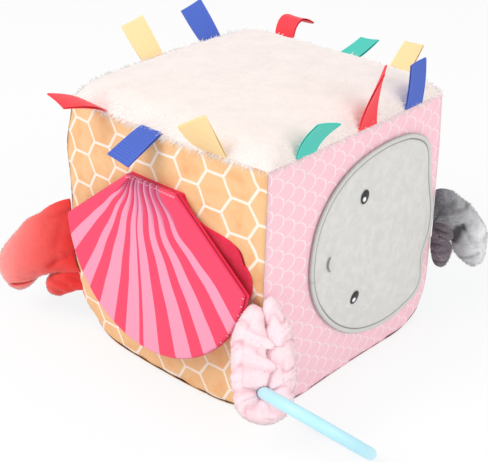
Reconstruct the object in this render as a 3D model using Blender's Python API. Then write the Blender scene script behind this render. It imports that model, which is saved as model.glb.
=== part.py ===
"""A stuffed fabric activity block for a baby. Six sewn panels hold a foam core with a rattle in it. A shell
flap opens on the front, an animal appliqué with a plush tail lies on the right side, a plush claw comes out
of the left seam, a teether ring hangs on a gathered strap, and ribbon tags stand round the top seam."""

import math

import bmesh
import bpy
from mathutils import Matrix, Vector

MM = 0.001

# Block: six panels sewn edge to edge. The stuffing crowns each one, bows its seams out, or in where a bow is
# below zero, and pulls the corners in. The plush top rises at a steep shoulder and then to its crown.
BLOCK_SIDE = 150 * MM
PANEL_THICKNESS = 1.8 * MM
CLOTH_GAP = 0.35 * MM
LIMB_SEAT = 0.8 * MM
SEAM_SPACE = 0.22 * MM
SIDE_CROWN = 5 * MM
TOP_CROWN = 14.5 * MM
TOP_SHOULDER = 11 * MM
SHOULDER_POWER = 16
FRONT_BOW = 2 * MM
FRONT_BASE_SPREAD = 3 * MM
RIGHT_BOW = 0.3 * MM
RIGHT_BASE_SPREAD = -3 * MM
BACK_BOW = 0.5 * MM
BACK_BASE_SPREAD = -1.5 * MM
LEFT_BOW = 3.5 * MM
LEFT_BASE_SPREAD = -1.5 * MM
SEAM_BOWS = {
    (1, -1): (FRONT_BOW, FRONT_BASE_SPREAD),
    (0, 1): (RIGHT_BOW, RIGHT_BASE_SPREAD),
    (1, 1): (BACK_BOW, BACK_BASE_SPREAD),
    (0, -1): (LEFT_BOW, LEFT_BASE_SPREAD),
}
TOP_CORNER_PULL = 0.3 * MM
BASE_CORNER_PULL = 4.5 * MM
FOAM_GAP = 0.8 * MM
FOAM_CORNER_EASE = 1.5 * MM
CORNER_START_SHARE = 0.5
EDGE_CROWDING_SHARE = 0.4
FLAT_SHARE = -0.999
SWELL_POWER = 4
PANEL_SEGMENTS = 8

# Rattle: two cups with a ball, in a pocket cut in the foam
RATTLE_DIAMETER = 32 * MM
RATTLE_HEIGHT = 34 * MM
RATTLE_WALL = 1.5 * MM
RATTLE_CORNER = 4 * MM
RATTLE_BALL_DIAMETER = 11 * MM
RATTLE_STEPS = 20
RATTLE_CORNER_STEPS = 3

# Shell on the front panel: a scalloped backing, and over it a padded flap gathered at its top
SHELL_RADIUS = 72 * MM
SHELL_CENTRE_DROP = 28 * MM
SHELL_GATHER_WIDTH = 43 * MM
SHELL_GATHER_OFFSET = 0.5 * MM
SHELL_TOP_DROP = 28 * MM
BACKING_THICKNESS = 1 * MM
BACKING_INSET = 8 * MM
BACKING_HALF_ANGLE = 84
SCALLOP_COUNT = 7
SCALLOP_DEPTH = 3.5 * MM
SCALLOP_STEPS = 6
FLAP_HALF_ANGLE = 81
FLAP_OPENING_ANGLE = 6
FLAP_FRONT_THICKNESS = 1.4 * MM
FLAP_LINING_THICKNESS = 0.9 * MM
FILM_THICKNESS = 0.4 * MM
FILM_SIZE_SHARE = 0.84
FLAP_PUFF = 2.6 * MM
PLEAT_COUNT = 8
PLEAT_HEIGHT = 1.1 * MM
PLEAT_STEPS = 4

# Animal appliqué on the right panel: a padded shape with a satin-stitched border, two eyes and a mouth.
# The shares are the outline's distances from its middle, every 15 degrees from the back edge upwards.
ANIMAL_LENGTH = 114 * MM
ANIMAL_SEAM_MARGIN = 6.4 * MM
ANIMAL_MIDDLE_HEIGHT = 77.7 * MM
ANIMAL_THICKNESS = 1.6 * MM
ANIMAL_BACK_SHARE = 0.484
ANIMAL_OUTLINE_SHARES = (
    0.484, 0.466, 0.486, 0.556, 0.547, 0.516, 0.498, 0.497, 0.508, 0.518, 0.519, 0.506,
    0.494, 0.478, 0.459, 0.448, 0.448, 0.459, 0.481, 0.517, 0.56, 0.596, 0.482, 0.492,
)
ANIMAL_SEGMENTS = 12
BORDER_RADIUS = 1.1 * MM
BORDER_POINTS = 48
EYE_LENGTH = 6.2 * MM
EYE_WIDTH = 4.4 * MM
EYE_THICKNESS = 0.6 * MM
EYE_TILT_ANGLE = 25
EYE_TOP_SHARE = 0.9
EYE_SIDES = 14
EYE_PLACE_SHARES = {"upper": (-0.145, 0.312), "lower": (-0.196, -0.216)}
MOUTH_RADIUS = 0.6 * MM
MOUTH_LENGTH = 9.5 * MM
MOUTH_BEND = 2 * MM
MOUTH_PLACE_SHARES = (-0.411, 0.048)
MOUTH_POINTS = 8

# Plush tail in the back right seam. A row of a form is its distance out of the seam, the height of its
# middle, its half height and its half thickness, as shares of the form's length and of its root's height.
TAIL_LENGTH = 34 * MM
TAIL_HEIGHT = 52 * MM
TAIL_THICKNESS = 15 * MM
TAIL_MIDDLE_HEIGHT = 62 * MM
TAIL_HEADING_ANGLE = 45
TAIL_FLUKE_SHARES = (
    (0.0, 0.294, 0.207, 0.06), (0.121, 0.296, 0.219, 0.15), (0.243, 0.253, 0.2, 0.27),
    (0.373, 0.205, 0.183, 0.38), (0.497, 0.135, 0.179, 0.46), (0.602, 0.027, 0.182, 0.5),
    (0.671, -0.087, 0.2, 0.5), (0.693, -0.206, 0.204, 0.5), (0.732, -0.303, 0.169, 0.46),
    (0.754, -0.386, 0.141, 0.4), (0.733, -0.448, 0.099, 0.26), (0.711, -0.48, 0.043, 0.1),
)
TAIL_STALK_SHARES = (
    (0.0, -0.029, 0.086, 0.06), (0.103, -0.031, 0.083, 0.14), (0.193, -0.063, 0.076, 0.22),
    (0.269, -0.099, 0.053, 0.2), (0.333, -0.135, 0.01, 0.08),
)
TAIL_STUB_SHARES = (
    (-0.015, -0.191, 0.053, 0.06), (0.108, -0.226, 0.093, 0.14), (0.172, -0.287, 0.112, 0.22),
    (0.181, -0.371, 0.103, 0.24), (0.196, -0.448, 0.079, 0.2), (0.229, -0.504, 0.029, 0.08),
)
TAIL_SIDES = 10
TAIL_RINGS = 12

# Plush claw in the front left seam, in the same form
CLAW_LENGTH = 56 * MM
CLAW_HEIGHT = 48 * MM
CLAW_THICKNESS = 26 * MM
CLAW_MIDDLE_HEIGHT = 60 * MM
CLAW_HEADING_ANGLE = -157
CLAW_PALM_SHARES = (
    (0.0, 0.026, 0.523, 0.04), (0.174, -0.113, 0.425, 0.15), (0.328, -0.174, 0.4, 0.28),
    (0.436, -0.245, 0.371, 0.38), (0.524, -0.32, 0.334, 0.46), (0.604, -0.405, 0.31, 0.5),
    (0.669, -0.496, 0.293, 0.5), (0.695, -0.595, 0.273, 0.48), (0.711, -0.688, 0.228, 0.42),
    (0.728, -0.774, 0.172, 0.33), (0.745, -0.851, 0.104, 0.17), (0.757, -0.909, 0.022, 0.05),
)
CLAW_THUMB_SHARES = (
    (-0.03, -0.65, 0.088, 0.04), (0.092, -0.67, 0.108, 0.1), (0.178, -0.706, 0.125, 0.19),
    (0.254, -0.737, 0.136, 0.25), (0.309, -0.75, 0.12, 0.23), (0.336, -0.758, 0.087, 0.14),
    (0.356, -0.763, 0.047, 0.04),
)
CLAW_SIDES = 12
CLAW_RINGS = 12

# Gathered strap from the front right seam, looped through a teether ring
STRAP_SEAM_HEIGHT = 76 * MM
STRAP_LENGTH = 45 * MM
STRAP_HEADING_ANGLE = -46
STRAP_SLOPE_ANGLE = 63.5
STRAP_BOW = 3 * MM
STRAP_RADIUS = 6.8 * MM
STRAP_ROOT_RADIUS = 2.5 * MM
STRAP_SEAT_SHARE = 0.62
STRAP_ROOT_LENGTH = 18 * MM
STRAP_SPACING = 14.5 * MM
STRAP_RUCHE = 0.35 * MM
STRAP_RUCHE_PITCH = 6.2 * MM
STRAP_HALF_POINTS = 30
STRAP_TURN_ANGLE = 45
STRAP_SWELL_SHARE = 0.6
EYE_CLEARANCE = 1.2 * MM
EYE_STRAP_RADIUS = 5.4 * MM
RING_DIAMETER = 69 * MM
RING_ROD_RADIUS = 3.35 * MM
RING_HEADING_ANGLE = 21.5
RING_SLOPE_ANGLE = 21.3
RING_ROLL_ANGLE = 40
RING_SEGMENTS = 44
RING_SIDES = 10

# Ribbon tags in the top seam, three on each side: colour, place along the seam as a share of half the block,
# the tip's reach along it, outwards and upwards as shares of the ribbon's length, its twist in right angles,
# and how far it stands off the seam before it bends, as a share of its length.
TAG_WIDTH = 15 * MM
TAG_LENGTH = 30 * MM
TAG_THICKNESS = 1.2 * MM
TAG_SEAT = 0.8 * MM
TAG_COLUMNS = 2
TAG_ROWS = 7
TAG_SHARES = {
    "front": (
        ("red", -0.66, (0, 0.95, 0.42), -0.18, 0.36),
        ("blue", -0.05, (-0.2, 0.72, -0.45), 0.13, 0.16),
        ("yellow", 0.5, (-0.06, 0.5, 0.72), 0.56, 0.36),
    ),
    "right": (
        ("green", -0.63, (-0.2, 0.44, 0.72), -0.17, 0.36),
        ("red", 0.05, (0.23, 0.13, 1.03), 0.29, 0.36),
        ("blue", 0.64, (-0.2, 0.07, 0.88), 0.18, 0.3),
    ),
    "back": (
        ("yellow", 0.56, (0.03, 0.6, 0.53), -0.1, 0.36),
        ("green", -0.05, (0.2, 0.85, 0.3), -0.23, 0.36),
        ("red", -0.61, (-0.16, 0.65, 0.4), -0.11, 0.36),
    ),
    "left": (
        ("blue", 0.53, (0.1, 0.78, 0.68), -0.44, 0.36),
        ("yellow", -0.1, (0, 0.68, 0.74), -0.41, 0.36),
        ("green", -0.6, (-0.05, 0.4, -0.85), -0.11, 0.14),
    ),
}
SIDES = {
    "front": (Vector((1, 0, 0)), Vector((0, -1, 0))),
    "right": (Vector((0, 1, 0)), Vector((1, 0, 0))),
    "back": (Vector((1, 0, 0)), Vector((0, 1, 0))),
    "left": (Vector((0, 1, 0)), Vector((-1, 0, 0))),
}
UP = Vector((0, 0, 1))

# Colours as red, green and blue, with the roughness of each finish
FINISHES = {
    "honeycomb_print": ((0.94, 0.6, 0.24), 0.85),
    "scale_print": ((0.96, 0.55, 0.62), 0.85),
    "cream_plush": ((0.94, 0.87, 0.83), 0.95),
    "teal_print": ((0.06, 0.24, 0.3), 0.85),
    "blue_print": ((0.25, 0.5, 0.62), 0.85),
    "dark_print": ((0.13, 0.04, 0.06), 0.85),
    "foam": ((0.9, 0.87, 0.78), 0.95),
    "rattle_plastic": ((0.88, 0.88, 0.86), 0.45),
    "shell_pink": ((0.95, 0.12, 0.25), 0.85),
    "shell_red": ((0.85, 0.05, 0.1), 0.85),
    "crinkle_film": ((0.82, 0.82, 0.84), 0.3),
    "animal_fleece": ((0.7, 0.69, 0.67), 0.9),
    "grey_thread": ((0.35, 0.34, 0.34), 0.7),
    "black_thread": ((0.02, 0.02, 0.02), 0.6),
    "grey_plush": ((0.3, 0.29, 0.3), 0.95),
    "red_plush": ((0.85, 0.1, 0.08), 0.95),
    "pink_plush": ((0.95, 0.72, 0.76), 0.95),
    "teether_plastic": ((0.55, 0.87, 0.95), 0.35),
    "red_ribbon": ((0.87, 0.05, 0.07), 0.5),
    "blue_ribbon": ((0.06, 0.13, 0.6), 0.5),
    "yellow_ribbon": ((0.96, 0.76, 0.32), 0.5),
    "green_ribbon": ((0.06, 0.6, 0.48), 0.5),
}
SHARP_ANGLE = 40
WELD = 0.001 * MM


def start_scene():
    """An empty scene with a collection for the block and one for its cutters."""
    for old in list(bpy.data.objects):
        bpy.data.objects.remove(old, do_unlink=True)
    made = {}
    for title in ("Fabric block", "Cutters"):
        made[title] = bpy.data.collections.new(title)
        bpy.context.scene.collection.children.link(made[title])
    return made["Fabric block"], made["Cutters"]


BLOCK, CUTTERS = start_scene()


def material(name):
    """The finish of this name, made the first time it is asked for."""
    found = bpy.data.materials.get(name)
    if found:
        return found
    colour, roughness = FINISHES[name]
    made = bpy.data.materials.new(name)
    made.use_nodes = True
    shader = made.node_tree.nodes["Principled BSDF"]
    shader.inputs["Base Color"].default_value = (*colour, 1)
    shader.inputs["Roughness"].default_value = roughness
    made.diffuse_color = (*colour, 1)
    return made


def add_piece(name, shape, finish, collection=BLOCK):
    """An object from a bmesh, shaded smooth, in its collection."""
    mesh = bpy.data.meshes.new(name)
    bmesh.ops.recalc_face_normals(shape, faces=shape.faces)
    if shape.calc_volume(signed=True) < 0:
        bmesh.ops.reverse_faces(shape, faces=shape.faces)
    shape.to_mesh(mesh)
    shape.free()
    mesh.shade_smooth()
    mesh.set_sharp_from_angle(angle=math.radians(SHARP_ANGLE))
    piece = bpy.data.objects.new(name, mesh)
    piece.data.materials.append(material(finish))
    collection.objects.link(piece)
    return piece


def pivot(name, place, pieces):
    """An empty on a joint's axis that carries the moving pieces."""
    empty = bpy.data.objects.new(name, None)
    empty.location = place
    empty.empty_display_size = TAG_WIDTH
    BLOCK.objects.link(empty)
    for piece in pieces:
        piece.parent = empty
        piece.matrix_parent_inverse = Matrix.Translation(-place)
    return empty


def crowd(value):
    """A grid share moved towards the seams, where the block curves most."""
    return value * (1 + EDGE_CROWDING_SHARE * (1 - value**2))


def swell(unit, axis):
    """How far the stuffing pushes the block out along one axis, at a place on the unit cube."""
    first, second = unit[(axis + 1) % 3], unit[(axis + 2) % 3]
    dome = (1 - first**2) * (1 - second**2)
    if axis == 2:
        shoulder = (1 - first**SHOULDER_POWER) * (1 - second**SHOULDER_POWER)
        return TOP_SHOULDER * shoulder + (TOP_CROWN - TOP_SHOULDER) * dome if unit.z > 0 else 0
    bow, spread = SEAM_BOWS[axis, 1 if unit[axis] > 0 else -1]
    bow += spread * ((1 - unit.z) / 2) ** 2
    return bow * (1 - (first * second) ** 2) + (SIDE_CROWN - bow) * dome


def skin(unit, depth=0, ease=0):
    """The place of a point of the unit cube on the stuffed block, or this deep under its surface."""
    corner = max(0, abs(unit.x * unit.y * unit.z) - CORNER_START_SHARE) / (1 - CORNER_START_SHARE)
    pull = TOP_CORNER_PULL + (BASE_CORNER_PULL - TOP_CORNER_PULL) * (1 - unit.z) / 2 + ease
    place = UP * BLOCK_SIDE / 2
    for axis in range(3):
        side = math.copysign(1, unit[axis])
        place[axis] += unit[axis] * (BLOCK_SIDE / 2 - depth)
        place[axis] += side * abs(unit[axis]) ** SWELL_POWER * swell(unit, axis)
        place[axis] -= side * pull * corner**2
    return place


def on_side(side, along, height, lift):
    """A place on an upright panel, at a distance along it from its middle, a height, and a lift off it."""
    run, out = SIDES[side]
    half = BLOCK_SIDE / 2
    unit = run * (along / half) + out + UP * ((height - half) / half)
    axis = 0 if out.x else 1
    return run * along + UP * height + out * (half + swell(unit, axis) + lift)


def sheet(name, columns, rows, place, finish):
    """A closed sheet from a grid: place(a, b, face) lays out its first face and its second."""
    shape = bmesh.new()
    bmesh.ops.create_grid(shape, x_segments=columns, y_segments=rows, size=1)
    copied = bmesh.ops.extrude_face_region(shape, geom=shape.faces[:])
    second = {corner for corner in copied["geom"] if isinstance(corner, bmesh.types.BMVert)}
    for vertex in shape.verts:
        vertex.co = place(vertex.co.x, vertex.co.y, 1 if vertex in second else 0)
    return add_piece(name, shape, finish)


def smooth(points, count):
    """count + 1 points along a smooth curve through the given ones."""
    last = len(points) - 1
    result = []
    for step in range(count + 1):
        along = step / count * last
        index = min(int(along), last - 1)
        t = along - index
        before, start, end, after = (points[min(max(index + k, 0), last)] for k in (-1, 0, 1, 2))
        bend = before * 2 - start * 5 + end * 4 - after
        turn = start * 3 - before - end * 3 + after
        result.append((start * 2 + (end - before) * t + bend * t**2 + turn * t**3) / 2)
    return result


def tube(name, points, radii, sides, closed, finish):
    """A curve through the points, as thick as its radii, with its ends closed."""
    curve = bpy.data.curves.new(name, "CURVE")
    curve.dimensions = "3D"
    curve.bevel_depth = 1
    curve.bevel_resolution = sides // 2 - 2
    curve.use_fill_caps = not closed
    spline = curve.splines.new("POLY")
    spline.points.add(len(points) - 1)
    for knot, place, radius in zip(spline.points, points, radii):
        knot.co = (*place, 1)
        knot.radius = radius
    spline.use_cyclic_u = closed
    piece = bpy.data.objects.new(name, curve)
    curve.materials.append(material(finish))
    BLOCK.objects.link(piece)
    return piece


def panel(name, axis, side, finish):
    """One cloth face of the block, mitred at its rim so that it meets its neighbours along the seams."""

    def place(a, b, face):
        unit = Vector((0, 0, 0))
        unit[axis] = side
        unit[(axis + 1) % 3], unit[(axis + 2) % 3] = crowd(a), crowd(b)
        point = skin(unit, face * PANEL_THICKNESS)
        for other in ((axis + 1) % 3, (axis + 2) % 3):
            point[other] -= unit[other] * SEAM_SPACE
        return point

    return sheet(name, PANEL_SEGMENTS, PANEL_SEGMENTS, place, finish)


def block_panels():
    panel("front_panel", 1, -1, "honeycomb_print")
    panel("right_panel", 0, 1, "scale_print")
    panel("back_panel", 1, 1, "blue_print")
    panel("left_panel", 0, -1, "teal_print")
    panel("top_panel", 2, 1, "cream_plush")
    panel("bottom_panel", 2, -1, "dark_print")


def rattle_pocket():
    """The cutter of the pocket in the foam."""
    shape = bmesh.new()
    radius = RATTLE_DIAMETER / 2 + CLOTH_GAP
    bmesh.ops.create_cone(
        shape, cap_ends=True, segments=RATTLE_STEPS, radius1=radius, radius2=radius,
        depth=RATTLE_HEIGHT + 2 * CLOTH_GAP,
    )
    cutter = add_piece("rattle_pocket_cutter", shape, "foam", CUTTERS)
    cutter.location = UP * BLOCK_SIDE / 2
    cutter.hide_render = True
    cutter.display_type = "WIRE"
    return cutter


def foam_half(name, side, cutter):
    """One of the two foam blocks, glued at mid height, with half of the rattle's pocket in it."""
    shape = bmesh.new()
    bmesh.ops.create_cube(shape, size=2)
    bmesh.ops.subdivide_edges(shape, edges=shape.edges[:], cuts=PANEL_SEGMENTS - 1, use_grid_fill=True)
    flat = [face for face in shape.faces if all(side * v.co.z < FLAT_SHARE for v in face.verts)]
    for vertex in shape.verts:
        share = (vertex.co.z + side) / 2
        unit = Vector((crowd(vertex.co.x), crowd(vertex.co.y), crowd(share)))
        vertex.co = skin(unit, PANEL_THICKNESS + FOAM_GAP, FOAM_CORNER_EASE)
        vertex.co.z += side * (1 - abs(share)) * CLOTH_GAP / 2
    bmesh.ops.dissolve_faces(shape, faces=flat)
    piece = add_piece(name, shape, "foam")
    cut = piece.modifiers.new("Rattle pocket", "BOOLEAN")
    cut.operation = "DIFFERENCE"
    cut.object = cutter
    return piece


def rattle_cup(name, side):
    """A turned cup, open towards the middle of the block, with a rounded corner."""
    radius, height = RATTLE_DIAMETER / 2, RATTLE_HEIGHT / 2
    profile = []
    for inset in (RATTLE_WALL, 0):
        rim = (radius - inset, 0, CLOTH_GAP / 2)
        corner = []
        for step in range(RATTLE_CORNER_STEPS + 1):
            angle = math.radians(90) * step / RATTLE_CORNER_STEPS
            bend = RATTLE_CORNER - inset
            corner.append((
                radius - RATTLE_CORNER + bend * math.cos(angle), 0,
                height - RATTLE_CORNER + bend * math.sin(angle),
            ))
        half = [rim, *corner, (0, 0, height - inset)]
        profile += half if inset == 0 else half[::-1]
    shape = bmesh.new()
    corners = [shape.verts.new((x, y, z)) for x, y, z in profile]
    for first, second in zip(corners, corners[1:]):
        shape.edges.new((first, second))
    bmesh.ops.spin(
        shape, geom=shape.verts[:] + shape.edges[:], cent=(0, 0, 0), axis=(0, 0, 1),
        angle=math.radians(360), steps=RATTLE_STEPS, use_merge=True, use_duplicate=False,
    )
    bmesh.ops.remove_doubles(shape, verts=shape.verts, dist=WELD)
    for vertex in shape.verts:
        vertex.co.z *= side
    cup = add_piece(name, shape, "rattle_plastic")
    cup.location = UP * BLOCK_SIDE / 2
    return cup


def rattle():
    cutter = rattle_pocket()
    foam_half("foam_core_lower", -1, cutter)
    foam_half("foam_core_upper", 1, cutter)
    rattle_cup("rattle_case_lower", -1)
    rattle_cup("rattle_case_upper", 1)
    shape = bmesh.new()
    bmesh.ops.create_uvsphere(
        shape, u_segments=RATTLE_STEPS // 2, v_segments=RATTLE_STEPS // 4, radius=RATTLE_BALL_DIAMETER / 2
    )
    ball = add_piece("rattle_ball", shape, "rattle_plastic")
    floor = (BLOCK_SIDE - RATTLE_HEIGHT) / 2 + RATTLE_WALL
    ball.location = UP * (floor + CLOTH_GAP + RATTLE_BALL_DIAMETER / 2)


def fan(across, down, half_angle, radius, gather):
    """A place on the shell's fan, from its gather (down 0) to its rim (down 1), as a width and a drop."""
    angle = across * math.radians(half_angle)
    rim = Vector((radius * math.sin(angle), SHELL_CENTRE_DROP + radius * math.cos(angle)))
    top = Vector((across * gather / 2, 0))
    return top.lerp(rim, down)


def shell_backing():
    """The scalloped cloth shell sewn flat on the front panel."""
    top = BLOCK_SIDE - SHELL_TOP_DROP

    def place(a, b, face):
        wave = abs(math.sin(math.radians(90) * SCALLOP_COUNT * (a + 1)))
        radius = SHELL_RADIUS - BACKING_INSET - SCALLOP_DEPTH * (1 - wave)
        width, drop = fan(a, (b + 1) / 2, BACKING_HALF_ANGLE, radius, SHELL_GATHER_WIDTH)
        lift = CLOTH_GAP + face * BACKING_THICKNESS
        return on_side("front", SHELL_GATHER_OFFSET + width, top - drop, lift)

    sheet("shell_backing", SCALLOP_COUNT * SCALLOP_STEPS, 3, place, "shell_red")


def shell_flap():
    """The flap's lining, its crinkle film and its pleated front, hinged along the gather."""
    top = BLOCK_SIDE - SHELL_TOP_DROP
    layers_below = BACKING_THICKNESS + FLAP_LINING_THICKNESS + 2 * CLOTH_GAP
    hinge = on_side("front", SHELL_GATHER_OFFSET, top, layers_below)
    angle = math.radians(FLAP_OPENING_ANGLE)
    fall = Vector((0, -math.sin(angle), -math.cos(angle)))
    out = Vector((0, -math.cos(angle), math.sin(angle)))

    def layer(bottom, thickness, size_share, puff, pleats):
        def place(a, b, face):
            across, down = a * size_share, (1 - size_share) / 2 + size_share * (b + 1) / 2
            width, drop = fan(across, down, FLAP_HALF_ANGLE, SHELL_RADIUS, SHELL_GATHER_WIDTH)
            full = (1 - across**2) * 4 * down * (1 - down)
            wave = (1 - math.cos(math.radians(360) * PLEAT_COUNT * (across + 1) / 2)) / 2
            lift = bottom + face * thickness + puff * full + pleats * wave * (1 - down) ** 2
            return hinge + SIDES["front"][0] * width + fall * drop + out * lift

        return place

    film_bottom = CLOTH_GAP
    front_bottom = film_bottom + FILM_THICKNESS
    return hinge, (
        sheet(
            "shell_flap_lining", PLEAT_COUNT * 2, 5,
            layer(-FLAP_LINING_THICKNESS, FLAP_LINING_THICKNESS, 1, 0, 0), "shell_red",
        ),
        sheet(
            "shell_crinkle_film", PLEAT_COUNT, 4,
            layer(film_bottom, FILM_THICKNESS, FILM_SIZE_SHARE, 0, 0), "crinkle_film",
        ),
        sheet(
            "shell_flap_front", PLEAT_COUNT * PLEAT_STEPS, 6,
            layer(front_bottom, FLAP_FRONT_THICKNESS, 1, FLAP_PUFF, PLEAT_HEIGHT), "shell_pink",
        ),
    )


def animal_middle():
    """The middle of the animal's outline, as a distance along the right panel and a height."""
    back = BLOCK_SIDE / 2 - ANIMAL_SEAM_MARGIN
    return Vector((back - ANIMAL_BACK_SHARE * ANIMAL_LENGTH, ANIMAL_MIDDLE_HEIGHT))


def animal_outline(angle):
    """The outline's distance from its middle, smooth between its shares."""
    count = len(ANIMAL_OUTLINE_SHARES)
    along = angle / math.radians(360) * count
    index = math.floor(along)
    t = along - index
    before, start, end, after = (ANIMAL_OUTLINE_SHARES[(index + k) % count] for k in (-1, 0, 1, 2))
    bend = 2 * before - 5 * start + 4 * end - after
    turn = 3 * start - before - 3 * end + after
    return ANIMAL_LENGTH * (2 * start + (end - before) * t + bend * t**2 + turn * t**3) / 2


def on_animal(shares, lift):
    """A place over the animal, given as shares of its length from its middle."""
    along, height = animal_middle() + Vector(shares) * ANIMAL_LENGTH
    return on_side("right", along, height, CLOTH_GAP + ANIMAL_THICKNESS + CLOTH_GAP + lift)


def animal_applique():
    middle = animal_middle()

    def place(a, b, face):
        x, y = a * math.sqrt(1 - b**2 / 2), b * math.sqrt(1 - a**2 / 2)
        reach = math.hypot(x, y) * animal_outline(math.atan2(y, x))
        direction = Vector((x, y)).normalized() if reach else Vector((0, 0))
        along, height = middle + direction * reach
        return on_side("right", along, height, CLOTH_GAP + face * ANIMAL_THICKNESS)

    sheet("animal_applique", ANIMAL_SEGMENTS, ANIMAL_SEGMENTS, place, "animal_fleece")


def animal_border():
    """The satin-stitched cord round the appliqué's edge."""
    middle = animal_middle()
    lift = CLOTH_GAP + BORDER_RADIUS
    route = []
    for step in range(BORDER_POINTS):
        angle = math.radians(360) * step / BORDER_POINTS
        reach = animal_outline(angle) + BORDER_RADIUS + 2 * CLOTH_GAP
        along, height = middle + Vector((math.cos(angle), math.sin(angle))) * reach
        route.append(on_side("right", along, height, lift))
    tube("animal_border", route, [BORDER_RADIUS] * BORDER_POINTS, 6, True, "grey_thread")


def animal_face():
    """Two embroidered eyes and a mouth."""
    for which, shares in EYE_PLACE_SHARES.items():
        shape = bmesh.new()
        bmesh.ops.create_cone(
            shape, cap_ends=True, segments=EYE_SIDES, radius1=1, radius2=EYE_TOP_SHARE, depth=1
        )
        size = (EYE_WIDTH / 2, EYE_LENGTH / 2, EYE_THICKNESS)
        bmesh.ops.scale(shape, vec=size, verts=shape.verts)
        tilt = Matrix.Rotation(math.radians(-EYE_TILT_ANGLE), 3, "Z")
        bmesh.ops.rotate(shape, matrix=tilt, verts=shape.verts)
        turn = Matrix(((0, 0, 1), (1, 0, 0), (0, 1, 0)))
        bmesh.ops.rotate(shape, matrix=turn, verts=shape.verts)
        eye = add_piece(f"animal_eye_{which}", shape, "black_thread")
        eye.location = on_animal(shares, EYE_THICKNESS / 2)
    route = []
    for step in range(MOUTH_POINTS):
        share = 2 * step / (MOUTH_POINTS - 1) - 1
        bend = Vector((MOUTH_BEND * share**2, MOUTH_LENGTH / 2 * share)) / ANIMAL_LENGTH
        route.append(on_animal(Vector(MOUTH_PLACE_SHARES) + bend, MOUTH_RADIUS))
    tube("animal_mouth", route, [MOUTH_RADIUS] * MOUTH_POINTS, 6, False, "grey_thread")


def stuffed_form(name, root, heading, sizes, shares, rings, sides, finish):
    """A stuffed limb in a seam: oval sections square to its path, pinched where it is sewn in."""
    length, height, thickness = sizes
    out = Vector((math.cos(math.radians(heading)), math.sin(math.radians(heading)), 0))
    across = UP.cross(out)
    shape = bmesh.new()
    loops = []
    rows = smooth([Vector(row) for row in shares], rings)
    centres = [root + out * row[0] * length + UP * row[1] * height for row in rows]
    for index, (distance, middle, half_height, half_thickness) in enumerate(rows):
        ahead = centres[min(index + 1, rings)] - centres[max(index - 1, 0)] if index else out
        rise = ahead.cross(across).normalized()
        loop = []
        for step in range(sides):
            angle = math.radians(360) * step / sides
            side = across * math.cos(angle) * half_thickness * thickness
            lift = rise * math.sin(angle) * half_height * height
            loop.append(shape.verts.new(centres[index] + side + lift))
        loops.append(loop)
    for loop, following in zip(loops, loops[1:]):
        for step in range(sides):
            ahead = (step + 1) % sides
            shape.faces.new((loop[step], loop[ahead], following[ahead], following[step]))
    shape.faces.new(loops[0][::-1])
    shape.faces.new(loops[-1])
    return add_piece(name, shape, finish)


def seam_root(x_side, y_side, middle_height, heading):
    """The foot of a limb's axis, just outside an upright seam."""
    height_share = (middle_height - BLOCK_SIDE / 2) / (BLOCK_SIDE / 2)
    out = Vector((math.cos(math.radians(heading)), math.sin(math.radians(heading)), 0))
    foot = skin(Vector((x_side, y_side, height_share))) + out * LIMB_SEAT
    return Vector((foot.x, foot.y, middle_height))


def plush_tail():
    root = seam_root(1, 1, TAIL_MIDDLE_HEIGHT, TAIL_HEADING_ANGLE)
    sizes = (TAIL_LENGTH, TAIL_HEIGHT, TAIL_THICKNESS)
    forms = {"tail_fluke": TAIL_FLUKE_SHARES, "tail_stalk": TAIL_STALK_SHARES, "tail_stub": TAIL_STUB_SHARES}
    return root, [
        stuffed_form(name, root, TAIL_HEADING_ANGLE, sizes, shares, TAIL_RINGS, TAIL_SIDES, "grey_plush")
        for name, shares in forms.items()
    ]


def plush_claw():
    root = seam_root(-1, -1, CLAW_MIDDLE_HEIGHT, CLAW_HEADING_ANGLE)
    sizes = (CLAW_LENGTH, CLAW_HEIGHT, CLAW_THICKNESS)
    forms = {"claw_palm": CLAW_PALM_SHARES, "claw_thumb": CLAW_THUMB_SHARES}
    return root, [
        stuffed_form(name, root, CLAW_HEADING_ANGLE, sizes, shares, CLAW_RINGS, CLAW_SIDES, "red_plush")
        for name, shares in forms.items()
    ]


def sloped(heading, drop):
    """A direction with a heading about Z and a drop below level, in degrees."""
    heading, drop = math.radians(heading), math.radians(drop)
    return Vector((math.cos(heading) * math.cos(drop), math.sin(heading) * math.cos(drop), -math.sin(drop)))


def ring_axis():
    """The teether ring's axis: upright to its own plane, which rolls about the way it lies."""
    along = sloped(RING_HEADING_ANGLE, RING_SLOPE_ANGLE)
    level = UP.cross(along).normalized()
    roll = math.radians(RING_ROLL_ANGLE)
    return -(math.sin(roll) * level + math.cos(roll) * along.cross(level))


def strap_frame():
    """The strap's seam point, the middle of its eye, the way it hangs and the way its two strands part."""
    height_share = (STRAP_SEAM_HEIGHT - BLOCK_SIDE / 2) / (BLOCK_SIDE / 2)
    away = sloped(STRAP_HEADING_ANGLE, 0)
    seam = skin(Vector((1, -1, height_share))) + away * STRAP_ROOT_RADIUS * STRAP_SEAT_SHARE
    hang = sloped(STRAP_HEADING_ANGLE, STRAP_SLOPE_ANGLE)
    tangent = ring_axis().cross(sloped(RING_HEADING_ANGLE, RING_SLOPE_ANGLE))
    return seam, seam + hang * STRAP_LENGTH, hang, tangent.cross(hang).normalized()


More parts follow.
